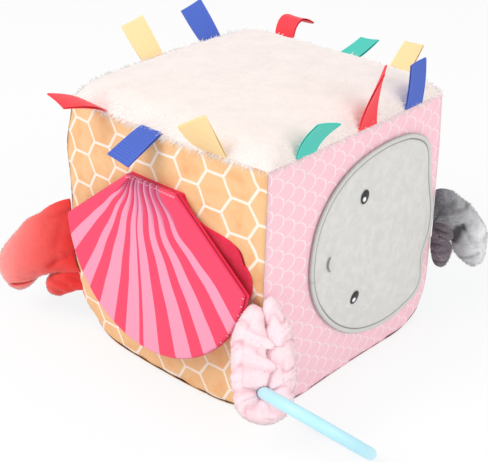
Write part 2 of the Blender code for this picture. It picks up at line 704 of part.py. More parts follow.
def gathered_strap():
    """One plush tube, both ends in the seam, that passes through the ring and is ruched all along."""
    seam, eye, hang, apart = strap_frame()
    loop = RING_ROD_RADIUS + EYE_CLEARANCE + EYE_STRAP_RADIUS
    turn = math.radians(STRAP_TURN_ANGLE)
    half = [
        Vector((-STRAP_LENGTH, STRAP_ROOT_RADIUS + CLOTH_GAP)),
        Vector((-STRAP_LENGTH * STRAP_SWELL_SHARE, STRAP_SPACING / 2)),
        Vector((-STRAP_LENGTH / 2, STRAP_SPACING / 2)),
        Vector((-loop, (loop + STRAP_SPACING / 2) / 2)),
        Vector((0, loop)),
        Vector((math.sin(turn), math.cos(turn))) * loop,
        Vector((loop, 0)),
    ]
    whole = half + [Vector((down, -aside)) for down, aside in half[-2::-1]]
    fine = smooth(whole, STRAP_HALF_POINTS * 4)
    travelled = [0]
    for first, second in zip(fine, fine[1:]):
        travelled.append(travelled[-1] + (second - first).length)
    route, radii = [], []
    for step in range(2 * STRAP_HALF_POINTS + 1):
        wanted = travelled[-1] * step / (2 * STRAP_HALF_POINTS)
        index = max(1, next(i for i, far in enumerate(travelled) if far >= wanted - WELD))
        share = (wanted - travelled[index - 1]) / (travelled[index] - travelled[index - 1])
        down, aside = fine[index - 1].lerp(fine[index], share)
        strand = min(1, max(0, -down / STRAP_LENGTH))
        route.append(eye + hang * down - apart * (aside + STRAP_BOW * 4 * strand * (1 - strand)))
        from_end = min(wanted, travelled[-1] - wanted)
        root = min(1, from_end / STRAP_ROOT_LENGTH)
        full = EYE_STRAP_RADIUS + (STRAP_RADIUS - EYE_STRAP_RADIUS) * min(1, 2 * strand)
        ruche = STRAP_RUCHE * math.cos(math.radians(360) * wanted / STRAP_RUCHE_PITCH) * root
        radii.append(STRAP_ROOT_RADIUS + (full - STRAP_ROOT_RADIUS) * root + ruche)
    return seam, [tube("strap", route, radii, 8, False, "pink_plush")]


def teether_ring():
    """A smooth ring whose rod lies in the middle of the strap's eye."""
    along = sloped(RING_HEADING_ANGLE, RING_SLOPE_ANGLE)
    major = RING_DIAMETER / 2 - RING_ROD_RADIUS
    bpy.ops.mesh.primitive_torus_add(
        major_radius=major, minor_radius=RING_ROD_RADIUS,
        major_segments=RING_SEGMENTS, minor_segments=RING_SIDES,
    )
    ring = bpy.context.object
    ring.name = "teether_ring"
    ring.data.name = "teether_ring"
    for collection in list(ring.users_collection):
        collection.objects.unlink(ring)
    BLOCK.objects.link(ring)
    ring.data.shade_smooth()
    ring.data.materials.append(material("teether_plastic"))
    ring.rotation_mode = "QUATERNION"
    ring.rotation_quaternion = ring_axis().to_track_quat("Z", "Y")
    ring.location = strap_frame()[1] + along * major


def ribbon_tag(side, colour, place_share, reach_shares, twist_share, bend_share):
    """A ribbon folded in half and sewn into the top seam, which bends and twists towards its tip."""
    run, out = SIDES[side]
    seam_out = (out + UP).normalized()
    foot = skin(run * place_share + out + UP) + seam_out * TAG_SEAT
    reach = run * reach_shares[0] + out * reach_shares[1] + UP * reach_shares[2]
    bend, tip = foot + seam_out * bend_share * TAG_LENGTH, foot + reach * TAG_LENGTH

    def point(a, b, face):
        t = (b + 1) / 2
        centre = foot * (1 - t) ** 2 + bend * 2 * t * (1 - t) + tip * t**2
        ahead = ((bend - foot) * (1 - t) + (tip - bend) * t).normalized()
        level = (run - ahead * run.dot(ahead)).normalized()
        level.rotate(Matrix.Rotation(math.radians(90) * twist_share * t, 3, ahead))
        normal = level.cross(ahead)
        return centre + level * a * TAG_WIDTH / 2 + normal * (face - 1 / 2) * TAG_THICKNESS

    ribbon = sheet(f"tag_{colour}_{side}", TAG_COLUMNS, TAG_ROWS, point, f"{colour}_ribbon")
    pivot(f"{ribbon.name}_pivot", foot, [ribbon])


def ribbon_tags():
    for side, rows in TAG_SHARES.items():
        for row in rows:
            ribbon_tag(side, *row)


def main():
    block_panels()
    rattle()
    shell_backing()
    hinge, layers = shell_flap()
    pivot("flap_pivot", hinge, layers)
    animal_applique()
    animal_border()
    animal_face()
    pivot("tail_pivot", *plush_tail())
    pivot("claw_pivot", *plush_claw())
    pivot("strap_pivot", *gathered_strap())
    teether_ring()
    ribbon_tags()


main()
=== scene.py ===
import math

import bpy
import numpy as np
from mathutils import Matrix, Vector


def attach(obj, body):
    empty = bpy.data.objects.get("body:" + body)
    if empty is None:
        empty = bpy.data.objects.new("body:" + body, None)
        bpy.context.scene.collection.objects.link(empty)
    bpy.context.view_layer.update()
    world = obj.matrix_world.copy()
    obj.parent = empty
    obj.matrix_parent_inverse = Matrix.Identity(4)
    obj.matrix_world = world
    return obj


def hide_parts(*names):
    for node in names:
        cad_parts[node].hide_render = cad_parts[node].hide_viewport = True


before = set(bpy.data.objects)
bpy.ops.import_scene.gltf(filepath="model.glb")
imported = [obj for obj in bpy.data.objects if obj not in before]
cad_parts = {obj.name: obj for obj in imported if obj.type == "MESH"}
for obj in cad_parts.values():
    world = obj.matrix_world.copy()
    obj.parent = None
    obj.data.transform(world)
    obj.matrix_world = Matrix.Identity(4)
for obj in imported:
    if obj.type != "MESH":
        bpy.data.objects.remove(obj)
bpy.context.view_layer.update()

MM = 0.001

# Camera: it stands off the block's near upright seam, a little above its top, with a long lens.
# Its place was found from the block's seven corners that the photograph shows.
camera = bpy.data.objects.new("Camera", bpy.data.cameras.new("Camera"))
camera.data.lens, camera.data.sensor_width = 86.6, 36
camera.data.clip_start = 10 * MM
camera.location = (0.4220, -0.4654, 0.3897)
camera.rotation_euler = (math.radians(90 - 27.51), 0, math.radians(42.94))
bpy.context.scene.collection.objects.link(camera)
bpy.context.scene.camera = camera
bpy.context.scene.view_settings.view_transform = "Standard"

# Studio light: a wide soft lamp high on the camera's left, a weaker one on its right, and a pale room.
# Only what the camera sees straight, mirrored or through glass finds the room white.
def soft_lamp(name, place, target, power, width):
    """A square lamp that faces a point."""
    lamp = bpy.data.objects.new(name, bpy.data.lights.new(name, "AREA"))
    lamp.data.energy, lamp.data.size = power, width
    lamp.location = place
    lamp.rotation_euler = (Vector(target) - Vector(place)).to_track_quat("-Z", "Y").to_euler()
    bpy.context.scene.collection.objects.link(lamp)


soft_lamp("Key lamp", (-0.35, -1.15, 1.25), (0, 0, 0.08), 12, 0.9)
soft_lamp("Fill lamp", (1.35, -0.1, 0.8), (0, 0, 0.08), 5.5, 0.9)


def node(tree, kind, inputs=None, **settings):
    """A shader node, with its settings made and its sockets joined or set."""
    made = tree.nodes.new("ShaderNode" + kind)
    for key, value in settings.items():
        setattr(made, key, value)
    for key, value in (inputs or {}).items():
        if isinstance(value, bpy.types.NodeSocket):
            tree.links.new(value, made.inputs[key])
        else:
            made.inputs[key].default_value = value
    return made


def sum_of(tree, operation, *values):
    """A sum of one, two or three values, as a socket."""
    return node(tree, "Math", dict(enumerate(values)), operation=operation).outputs[0]


def seen_straight(tree):
    """1 for rays from the camera and for mirrored and refracted ones."""
    path = node(tree, "LightPath")
    both = sum_of(tree, "MAXIMUM", path.outputs["Is Camera Ray"], path.outputs["Is Glossy Ray"])
    return sum_of(tree, "MAXIMUM", both, path.outputs["Is Transmission Ray"])


ROOM_LIGHT = 0.73
world = bpy.context.scene.world or bpy.data.worlds.new("Studio")
bpy.context.scene.world = world
world.use_nodes = True
tree = world.node_tree
tree.nodes.clear()
strength = sum_of(tree, "MULTIPLY_ADD", seen_straight(tree), 1 - ROOM_LIGHT, ROOM_LIGHT)
shade = node(tree, "Background", {"Color": (1, 1, 1, 1), "Strength": strength})
node(tree, "OutputWorld", {"Surface": shade.outputs[0]})

# Floor: plain white paper, lifted towards white where the camera sees it, so that the shadow stays soft.
bpy.ops.object.select_all(action="DESELECT")
bpy.ops.mesh.primitive_plane_add(size=6, location=(0, 0, 0))
floor = bpy.context.object
floor.name = "floor"
paper = bpy.data.materials.new("White paper")
paper.use_nodes = True
tree = paper.node_tree
tree.nodes.clear()
diffuse = node(tree, "BsdfDiffuse", {"Color": (0.93, 0.93, 0.93, 1)})
glow = node(tree, "Emission", {"Color": (1, 1, 1, 1), "Strength": 1.0})
lifted = sum_of(tree, "MULTIPLY_ADD", seen_straight(tree), 0.55, 0.25)
mixed = node(tree, "MixShader", {0: lifted, 1: diffuse.outputs[0], 2: glow.outputs[0]})
node(tree, "OutputMaterial", {"Surface": mixed.outputs[0]})
floor.data.materials.append(paper)

# Block cloth: six printed cotton panels with wadding behind them, sewn inside out edge to edge and turned.
# The foam crowns each one, the seams bow, and the thread puckers the cloth beside every seam.
BLOCK_SIDE = 150 * MM
PANEL_THICKNESS = 1.8 * MM
SEAM_SPACE = 0.06 * MM
SIDE_CROWN, TOP_CROWN, TOP_SHOULDER, SHOULDER_POWER = 5 * MM, 14.5 * MM, 11 * MM, 16
SEAM_BOWS = {(1, -1): (2 * MM, 3 * MM), (0, 1): (0.3 * MM, -3 * MM), (1, 1): (0.5 * MM, -1.5 * MM),
             (0, -1): (3.5 * MM, -1.5 * MM)}
TOP_CORNER_PULL, BASE_CORNER_PULL = 0.3 * MM, 4.5 * MM
SLACK_BULGE, SLACK_HEIGHT, SLACK_SPAN = 3.2 * MM, 0.62, 0.22
CORNER_START, CROWDING, SWELL_POWER = 0.5, 0.4, 4
PUCKER, PUCKER_REACH, PUCKER_PITCH, LUMP_PITCH = 0.4 * MM, 3 * MM, 13 * MM, 11 * MM


def crowd(value):
    """A grid share moved towards the seams, where the block curves most."""
    return value * (1 + CROWDING * (1 - value**2))


def swell(unit, axis):
    """How far the stuffing pushes the block out along one axis, at places on the unit cube."""
    first, second = unit[..., (axis + 1) % 3], unit[..., (axis + 2) % 3]
    dome = (1 - first**2) * (1 - second**2)
    if axis == 2:
        shoulder = (1 - first**SHOULDER_POWER) * (1 - second**SHOULDER_POWER)
        return np.where(unit[..., 2] > 0, TOP_SHOULDER * shoulder + (TOP_CROWN - TOP_SHOULDER) * dome, 0)
    near, far = SEAM_BOWS[axis, -1], SEAM_BOWS[axis, 1]
    beyond = unit[..., axis] > 0
    bow = np.where(beyond, far[0], near[0])
    bow = bow + np.where(beyond, far[1], near[1]) * ((1 - unit[..., 2]) / 2) ** 2
    return bow * (1 - (first * second) ** 2) + (SIDE_CROWN - bow) * dome


def skin(unit, depth=0, ease=0):
    """Places of the unit cube on the stuffed block, or this deep under its surface."""
    corner = np.maximum(0, np.abs(unit.prod(-1)) - CORNER_START) / (1 - CORNER_START)
    pull = TOP_CORNER_PULL + (BASE_CORNER_PULL - TOP_CORNER_PULL) * (1 - unit[..., 2]) / 2 + ease
    place = unit * (BLOCK_SIDE / 2 - depth)
    for axis in range(3):
        side = np.where(unit[..., axis] < 0, -1, 1)
        place[..., axis] += side * np.abs(unit[..., axis]) ** SWELL_POWER * swell(unit, axis)
        place[..., axis] -= side * pull * corner**2
    # A slack bulge in the front left seam, above its middle
    near = (np.maximum(0, -unit[..., 0]) * np.maximum(0, -unit[..., 1])) ** 6
    place[..., 0] -= SLACK_BULGE * near * np.exp(-(((unit[..., 2] - SLACK_HEIGHT) / SLACK_SPAN) ** 2))
    place[..., 2] += BLOCK_SIDE / 2
    return place


def waves(first, second, pitch, seed):
    """Slow uneven waves between -1 and 1 over two lengths, the same at each run."""
    dice = np.random.default_rng(seed)
    total = 0
    for _ in range(6):
        turn, size, phase = dice.uniform(0, math.tau), dice.uniform(0.7, 1.6), dice.uniform(0, math.tau)
        total = total + np.sin(math.tau * (first * math.cos(turn) + second * math.sin(turn)) * size / pitch + phase)
    return total / 6


def all_off():
    """Nothing selected, and no piece in edit mode."""
    if bpy.context.object and bpy.context.object.mode != "OBJECT":
        bpy.ops.object.mode_set(mode="OBJECT")
    bpy.ops.object.select_all(action="DESELECT")


def corners(mesh):
    """A mesh's points as an array."""
    found = np.empty(len(mesh.vertices) * 3)
    mesh.vertices.foreach_get("co", found)
    return found.reshape(-1, 3)


def face_outwards(piece):
    """Turn the faces of a closed piece outwards if its volume comes out negative."""
    mesh = piece.data
    mesh.calc_loop_triangles()
    picks = np.empty(len(mesh.loop_triangles) * 3, dtype=np.int32)
    mesh.loop_triangles.foreach_get("vertices", picks)
    a, b, c = (corners(mesh)[picks.reshape(-1, 3)[:, k]] for k in range(3))
    if (a * np.cross(b, c)).sum() < 0:
        bpy.ops.object.mode_set(mode="EDIT")
        bpy.ops.mesh.select_all(action="SELECT")
        bpy.ops.mesh.flip_normals()
        bpy.ops.object.mode_set(mode="OBJECT")


def mark(mesh, title, values):
    """Write one vector for each point, for the material to read."""
    found = mesh.attributes.new(title, "FLOAT_VECTOR", "POINT")
    found.data.foreach_set("vector", np.ascontiguousarray(values, dtype=np.float32).ravel())


def cloth(name, columns, rows, place):
    """A sheet with a thickness, from a grid: place(a, b, under) gives its points and what is marked on them."""
    all_off()
    bpy.ops.mesh.primitive_grid_add(x_subdivisions=columns, y_subdivisions=rows, size=2)
    piece = bpy.context.object
    piece.name = piece.data.name = name
    bpy.ops.object.mode_set(mode="EDIT")
    bpy.ops.mesh.select_all(action="SELECT")
    bpy.ops.mesh.extrude_region()
    bpy.ops.object.mode_set(mode="OBJECT")
    grid = corners(piece.data)
    under = np.zeros(len(grid), dtype=bool)
    piece.data.vertices.foreach_get("select", under)
    points, marks = place(grid[:, 0], grid[:, 1], under.astype(float))
    piece.data.vertices.foreach_set("co", points.ravel())
    mark(piece.data, "cloth", marks)
    piece.data.update()
    face_outwards(piece)
    bpy.ops.object.shade_smooth_by_angle(angle=math.radians(60))
    return piece


def dress(piece, coat, body, solid):
    """Give a piece its finish, the body that it moves with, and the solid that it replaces."""
    piece.data.materials.append(coat)
    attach(piece, body)
    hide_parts(solid)


def dye(code):
    """A colour code as the red, green and blue that a shader takes."""
    parts = [int(code[k:k + 2], 16) / 255 for k in (0, 2, 4)]
    return (*[v / 12.92 if v <= 0.04045 else ((v + 0.055) / 1.055) ** 2.4 for v in parts], 1)


def finish(name, roughness, sheen=0, specular=0.25, sheen_roughness=0.4):
    """A finish with its constant values set, its node tree and its shader."""
    made = bpy.data.materials.new(name)
    made.use_nodes = True
    tree = made.node_tree
    tree.nodes.clear()
    shader = node(tree, "BsdfPrincipled", {"Roughness": roughness, "Specular IOR Level": specular,
                                           "Sheen Weight": sheen, "Sheen Roughness": sheen_roughness})
    node(tree, "OutputMaterial", {"Surface": shader.outputs[0]})
    return made, tree, shader


def effect(name, inputs, outputs):
    """An empty group with these inputs and outputs, and its two end nodes."""
    made = bpy.data.node_groups.new(name, "ShaderNodeTree")
    for title, kind in inputs.items():
        made.interface.new_socket(title, in_out="INPUT", socket_type="NodeSocket" + kind)
    for title, kind in outputs.items():
        made.interface.new_socket(title, in_out="OUTPUT", socket_type="NodeSocket" + kind)
    return made, made.nodes.new("NodeGroupInput").outputs, made.nodes.new("NodeGroupOutput").inputs


def use(tree, group, inputs):
    """A group placed in a material with its values."""
    return node(tree, "Group", inputs, node_tree=group).outputs


def blend_colour(tree, share, first, second, kind="MIX"):
    """Two colours mixed by a share."""
    return node(tree, "Mix", {0: share, 6: first, 7: second}, data_type="RGBA", blend_type=kind).outputs[2]


def eased(tree, value, low, high):
    """0 below low and 1 above high, smooth between them."""
    return node(tree, "MapRange", {0: value, 1: low, 2: high}, interpolation_type="SMOOTHSTEP").outputs[0]


def raised(tree, shader, height, distance, strength=1.0):
    """Joins a height to the shader as a bump this deep."""
    bump = node(tree, "Bump", {"Height": height, "Distance": distance, "Strength": strength})
    tree.links.new(bump.outputs[0], shader.inputs["Normal"])


def marked(tree, title="cloth"):
    """The vector that is marked on a piece's points."""
    return node(tree, "Attribute", attribute_name=title).outputs["Vector"]


def own_place(tree):
    """The place on a piece, in its own frame."""
    return node(tree, "TexCoord").outputs["Object"]


def dyed(tree, shader, colour, light):
    """Joins a colour to the shader, made lighter and darker by a value."""
    grey = node(tree, "CombineXYZ", {0: light, 1: light, 2: light}).outputs[0]
    tree.links.new(blend_colour(tree, 1.0, colour, grey, "MULTIPLY"), shader.inputs["Base Color"])


# Two effects that most of the cloths share: crossed threads, and the nap of raised fibres
weave, into, out = effect("Weave", {"Place": "Vector", "Pitch": "Float"}, {"Height": "Float"})
scaled = node(weave, "VectorMath", {0: into["Place"], 1: (1, 1, 1)}, operation="SCALE")
weave.links.new(sum_of(weave, "DIVIDE", math.tau, into["Pitch"]), scaled.inputs["Scale"])
parts = node(weave, "SeparateXYZ", {0: scaled.outputs[0]})
warp, weft = (sum_of(weave, "SINE", parts.outputs[k]) for k in (0, 1))
weave.links.new(sum_of(weave, "MULTIPLY_ADD", sum_of(weave, "MULTIPLY", warp, weft), 0.5, 0.5), out["Height"])

nap, into, out = effect("Nap", {"Place": "Vector", "Size": "Float"}, {"Height": "Float", "Shade": "Float"})
for title, times, detail in (("Height", 1, 3), ("Shade", 0.12, 2)):
    scale = sum_of(nap, "DIVIDE", times, into["Size"])
    grain = node(nap, "TexNoise", {"Vector": into["Place"], "Scale": scale, "Detail": detail, "Roughness": 0.6})
    nap.links.new(grain.outputs["Fac"], out[title])


def printed_cotton(name, paint):
    """A printed cotton: paint(tree, along, up, place) gives its colours; painted shade darkens the cloth into its
    seams.
    """
    made, tree, shader = finish(name, 0.88, sheen=0.12, specular=0.15)
    place = marked(tree)
    along, up, to_seam = node(tree, "SeparateXYZ", {0: place}).outputs
    colour = paint(tree, along, up, place)
    fibres = use(tree, nap, {"Place": place, "Size": 1.1 * MM})
    light = node(tree, "MapRange", {0: fibres["Height"], 1: 0.25, 2: 0.75, 3: 0.955, 4: 1.03}).outputs[0]
    # Painted shade: the colour is darkened by up to 16% within 3 mm of each seam
    seam = eased(tree, to_seam, -0.5 * MM, 3 * MM)
    light = sum_of(tree, "MULTIPLY", light, sum_of(tree, "MULTIPLY_ADD", seam, 0.16, 0.84))
    dyed(tree, shader, colour, light)
    threads = use(tree, weave, {"Place": place, "Pitch": 0.5 * MM})
    raised(tree, shader, sum_of(tree, "ADD", threads["Height"], fibres["Height"]), 0.12 * MM, 0.7)
    return made


def honeycomb(tree, along, up, place):
    """Flat-topped cells in rows with pale lines between them, and blurred orange in the cells."""
    column, row = 35.2 * MM, 19.6 * MM
    bend = node(tree, "TexNoise", {"Vector": place, "Scale": 1 / (30 * MM), "Detail": 1.0}).outputs["Fac"]
    bend = sum_of(tree, "MULTIPLY_ADD", bend, 0.14, -0.07)
    nearest = None
    for shift in (0.5, 1.0):
        cell = []
        for value, middle, pitch in ((along, 40.2 * MM, column), (up, 129.5 * MM, row)):
            share = sum_of(tree, "MULTIPLY_ADD", value, 1 / pitch, shift - middle / pitch)
            share = sum_of(tree, "ADD", share, bend)
            cell.append(sum_of(tree, "ABSOLUTE", sum_of(tree, "SUBTRACT", sum_of(tree, "FRACT", share), 0.5)))
        slant = sum_of(tree, "MULTIPLY_ADD", cell[0], 1.5, sum_of(tree, "MULTIPLY", cell[1], 0.5))
        reach = sum_of(tree, "MAXIMUM", cell[1], slant)
        nearest = reach if nearest is None else sum_of(tree, "MINIMUM", nearest, reach)
    line = eased(tree, nearest, 0.5 - 0.95 * MM / row, 0.5 - 0.62 * MM / row)
    blur = node(tree, "TexNoise", {"Vector": place, "Scale": 1 / (13 * MM), "Detail": 2.0}).outputs["Fac"]
    fill = blend_colour(tree, eased(tree, blur, 0.4, 0.85), dye("F6C794"), dye("F1B27B"))
    return blend_colour(tree, line, fill, dye("FFF0E2"))


def scales(tree, along, up, place):
    """Fish scales: pale arcs 8 mm apart along the panel and 10 mm apart up it, each column half a scale off."""
    turned = sum_of(tree, "MULTIPLY", along, 1 / (8 * MM))
    column = sum_of(tree, "FLOOR", turned)
    odd = sum_of(tree, "FRACT", sum_of(tree, "MULTIPLY", column, 0.5))
    first = sum_of(tree, "FRACT", turned)
    second = sum_of(tree, "FRACT", sum_of(tree, "MULTIPLY_ADD", up, 1 / (10 * MM), odd))
    second = sum_of(tree, "MULTIPLY_ADD", second, 2, -1)
    reach = sum_of(tree, "SQRT", sum_of(tree, "MULTIPLY_ADD", first, first, sum_of(tree, "MULTIPLY", second, second)))
    off = sum_of(tree, "ABSOLUTE", sum_of(tree, "SUBTRACT", reach, 1.0))
    line = sum_of(tree, "SUBTRACT", 1.0, eased(tree, off, 0.035, 0.1))
    tip = sum_of(tree, "SUBTRACT", 1.0, eased(tree, sum_of(tree, "ABSOLUTE", second), 0.1, 0.95))
    share = sum_of(tree, "MULTIPLY", line, sum_of(tree, "MULTIPLY_ADD", tip, 0.45, 0.5))
    return blend_colour(tree, share, dye("FFCFD9"), dye("FFF1F3"))


def swells(tree, along, up, place):
    """Rolling waves in teal and navy."""
    roll = sum_of(tree, "SINE", sum_of(tree, "MULTIPLY", along, math.tau / (26 * MM)))
    rise = sum_of(tree, "MULTIPLY_ADD", roll, 3.4 * MM, up)
    band = sum_of(tree, "FRACT", sum_of(tree, "MULTIPLY", rise, 1 / (15 * MM)))
    crest = sum_of(tree, "LESS_THAN", band, 0.14)
    body = blend_colour(tree, eased(tree, band, 0.14, 0.95), dye("2E7C86"), dye("1C3450"))
    return blend_colour(tree, crest, body, dye("9ED9D6"))


def dots(tree, along, up, place):
    """Small pale dots in staggered rows on blue."""
    row = sum_of(tree, "MULTIPLY", up, 1 / (9 * MM))
    odd = sum_of(tree, "FRACT", sum_of(tree, "MULTIPLY", sum_of(tree, "FLOOR", row), 0.5))
    first = sum_of(tree, "FRACT", sum_of(tree, "MULTIPLY_ADD", along, 1 / (9 * MM), odd))
    first, second = sum_of(tree, "SUBTRACT", first, 0.5), sum_of(tree, "SUBTRACT", sum_of(tree, "FRACT", row), 0.5)
    reach = sum_of(tree, "SQRT", sum_of(tree, "MULTIPLY_ADD", first, first, sum_of(tree, "MULTIPLY", second, second)))
    return blend_colour(tree, eased(tree, reach, 0.16, 0.2), dye("F2F7F8"), dye("7DB6D2"))


def dashes(tree, along, up, place):
    """Short black and white dashes on dark maroon."""
    spots = node(tree, "TexVoronoi", {"Vector": place, "Scale": 1 / (6.5 * MM)}, feature="F1")
    near = sum_of(tree, "LESS_THAN", spots.outputs["Distance"], 0.3)
    parts = node(tree, "SeparateColor", {0: spots.outputs["Color"]})
    white = sum_of(tree, "MULTIPLY", near, sum_of(tree, "GREATER_THAN", parts.outputs[0], 0.55))
    ink = blend_colour(tree, near, dye("4A1C24"), dye("17141A"))
    return blend_colour(tree, white, ink, dye("EDE7E2"))


def panel(name, axis, side, segments, seed, coat, lumps=0, lip=0):
    """One face of the block, mitred at its rim, with the puckers that its seams pull in it."""

    def place(a, b, under):
        unit = np.zeros((len(a), 3))
        unit[:, axis] = side
        unit[:, (axis + 1) % 3], unit[:, (axis + 2) % 3] = crowd(a), crowd(b)
        points = skin(unit)
        points += (skin(unit, PANEL_THICKNESS) - points) * under[:, None]
        first, second = unit[:, (axis + 1) % 3], unit[:, (axis + 2) % 3]
        for other in ((axis + 1) % 3, (axis + 2) % 3):
            rim = (np.abs(unit[:, other]) > 0.999) * (1 - under)
            points[:, other] += unit[:, other] * (rim * lip * (0.8 + 0.5 * waves(a, b, 0.3, seed)) - SEAM_SPACE)
            points[:, axis] -= side * rim * lip * 1.6
        along, up = (points[:, 1], points[:, 2]) if axis == 0 else (points[:, 0], points[:, 2 if axis == 1 else 1])
        half = BLOCK_SIDE / 2
        to_seam = half * np.minimum(1 - np.abs(first), 1 - np.abs(second))
        beside = np.where(np.abs(first) > np.abs(second), half * second, half * first)
        near = to_seam / PUCKER_REACH * np.exp(1 - to_seam / PUCKER_REACH)
        push = PUCKER * near * waves(beside, to_seam * 0.15, PUCKER_PITCH, seed) * 2
        if lumps:
            push = push + lumps * waves(along, up, LUMP_PITCH, seed + 50) * np.minimum(1, to_seam / (6 * MM))
        points[:, axis] += side * (1 - under) * push
        return points, np.stack([along, up, to_seam], 1)

    piece = cloth(name + "_cloth", segments, segments, place)
    dress(piece, coat, "block", name)
    return piece


def plush(name, root, tip, far=None, deep=None, sheen=0.6, size=1.6 * MM, shade=0.12):
    """A short pile with painted shade at its hair roots and in its folds, and painted light farther out on a limb."""
    made, tree, shader = finish(name, 0.95, sheen=sheen, specular=0.1, sheen_roughness=0.5)
    place = own_place(tree)
    hairs = marked(tree, "hair")
    height = node(tree, "SeparateXYZ", {0: hairs}).outputs[0]
    fibres = use(tree, nap, {"Place": place, "Size": size})
    # Painted shade: the cloth and the hairs' roots take the darker root colour, the hairs' tips the tip colour
    share = sum_of(tree, "MULTIPLY_ADD", eased(tree, fibres["Height"], 0.3, 0.7), 0.4, height)
    colour = blend_colour(tree, share, root, tip)
    painted_fold_shade, outer, _ = node(tree, "SeparateXYZ", {0: marked(tree, "fold")}).outputs
    # Painted light: paler towards the far colour farther out on a limb, away from the block's shade
    if far:
        colour = blend_colour(tree, outer, colour, far)
    # Painted shade: the deep colour in the folds and hollows
    if deep:
        colour = blend_colour(tree, painted_fold_shade, colour, deep)
    light = node(tree, "MapRange", {0: fibres["Shade"], 1: 0.3, 2: 0.7, 3: 1 - shade, 4: 1 + shade / 3}).outputs[0]
    dyed(tree, shader, colour, light)
    raised(tree, shader, fibres["Height"], 0.25 * MM, 0.5)
    return made


def pile(base, name, body, count, length, width, seed, lean=None, keep=None, glow=0.0):
    """Hairs on a plush piece: closed three-sided spikes that take the light as the cloth under them does."""
    dice = np.random.default_rng(seed)
    mesh = base.data
    mesh.calc_loop_triangles()
    picks = np.empty(len(mesh.loop_triangles) * 3, dtype=np.int32)
    mesh.loop_triangles.foreach_get("vertices", picks)
    picks = picks.reshape(-1, 3)
    points, normals = corners(mesh), np.empty(len(mesh.vertices) * 3)
    mesh.vertex_normals.foreach_get("vector", normals)
    normals = normals.reshape(-1, 3)
    middle = points[picks].mean(1)
    one_edge, other_edge = (points[picks[:, k]] - points[picks[:, 0]] for k in (1, 2))
    area = np.linalg.norm(np.cross(one_edge, other_edge), axis=1)
    if keep is not None:
        area = area * keep(middle, normals[picks].mean(1))
    chosen = picks[dice.choice(len(picks), count, p=area / area.sum())]
    share = dice.dirichlet((1, 1, 1), count)[:, :, None]
    foot, up = (points[chosen] * share).sum(1), (normals[chosen] * share).sum(1)
    up /= np.linalg.norm(up, axis=1, keepdims=True)
    side = np.cross(up, dice.normal(size=(count, 3)))
    side /= np.linalg.norm(side, axis=1, keepdims=True)
    other = np.cross(up, side)
    long = length * dice.uniform(0.6, 1.25, (count, 1))
    tip = foot + (up + (0 if lean is None else lean(foot)) + dice.normal(0, 0.35, (count, 3))) * long
    rows = [foot + up * 0.03 * MM + (side * math.cos(turn) + other * math.sin(turn)) * width
            for turn in (0, math.tau / 3, -math.tau / 3)]
    verts = np.stack([*rows, tip], 1).reshape(-1, 3)
    start = np.arange(count)[:, None, None] * 4
    faces = (start + np.array([(0, 1, 3), (1, 2, 3), (2, 0, 3), (2, 1, 0)])[None]).reshape(-1, 3)
    hairs = bpy.data.meshes.new(name)
    hairs.from_pydata(verts.tolist(), [], faces.tolist())
    # Each hair is marked 0 at its root and 1 at its tip, for its painted shade at the root
    mark(hairs, "hair", np.stack([np.tile((0, 0, 0, 1), count), np.zeros(4 * count), np.zeros(4 * count)], 1))
    # The hairs take the painted shade and light marked on the cloth under them
    if "fold" in mesh.attributes:
        folds = np.empty(len(mesh.vertices) * 3)
        mesh.attributes["fold"].data.foreach_get("vector", folds)
        mark(hairs, "fold", np.repeat((folds.reshape(-1, 3)[chosen] * share).sum(1), 4, axis=0))
    hairs.normals_split_custom_set_from_vertices(np.repeat(up, 4, axis=0).tolist())
    piece = bpy.data.objects.new(name, hairs)
    bpy.context.scene.collection.objects.link(piece)
    # A fibre takes the light of the cloth under it, also on its side away from the lamp, and glows as painted light
    fibre = base.data.materials[0].copy()
    fibre.name = base.data.materials[0].name + " fibres"
    tree = fibre.node_tree
    shader, end = tree.nodes["Principled BSDF"], tree.nodes["Material Output"]
    facing = node(tree, "NewGeometry").outputs["Normal"]
    away = node(tree, "VectorMath", {0: facing, 1: (-1, -1, -1)}, operation="MULTIPLY")
    colour = shader.inputs["Base Color"].links[0].from_socket
    tree.links.remove(shader.inputs["Normal"].links[0])
    # Painted light: the fibre glows with its own colour by the glow share
    tree.links.new(colour, shader.inputs["Emission Color"])
    shader.inputs["Emission Strength"].default_value = glow
    through = node(tree, "BsdfTranslucent", {"Color": colour, "Normal": away.outputs[0]})
    both = node(tree, "MixShader", {0: 0.12, 1: shader.outputs[0], 2: through.outputs[0]})
    tree.links.new(both.outputs[0], end.inputs["Surface"])
    hairs.materials.append(fibre)
    piece.visible_shadow = piece.visible_diffuse = False
    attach(piece, body)


panel("front_panel", 1, -1, 130, 11, printed_cotton("Honeycomb cotton", honeycomb))
panel("right_panel", 0, 1, 130, 12, printed_cotton("Scale cotton", scales))
panel("back_panel", 1, 1, 70, 13, printed_cotton("Dotted cotton", dots))
panel("left_panel", 0, -1, 70, 14, printed_cotton("Wave cotton", swells), lip=0.35 * MM)
panel("bottom_panel", 2, -1, 70, 16, printed_cotton("Dash cotton", dashes), lip=0.9 * MM)
# Painted shade: the darker root colour lies on the cloth and at the roots of the hairs
cream = plush("Cream plush", dye("EFE0DA"), dye("F7EDE9"), shade=0.05)
top_cloth = panel("top_panel", 2, 1, 100, 15, cream, lumps=0.5 * MM)


def to_edge(at):
    """1 at the seams of the top and less towards its middle."""
    return np.exp((np.abs(at[:, :2]).max(1) - BLOCK_SIDE / 2) / (2.5 * MM))[:, None]


# Painted light: the top's fibres glow at 0.28 of their colour
pile(top_cloth, "top_panel_pile", "block", 9000, 1.6 * MM, 0.33 * MM, 21, glow=0.28,
     lean=lambda at: to_edge(at) * (np.sign(at) * (np.abs(at) > 0.062) * (0.9, 0.9, 0) - (0, 0, 0.6)),
     keep=lambda at, up: 0.004 + to_edge(at)[:, 0])

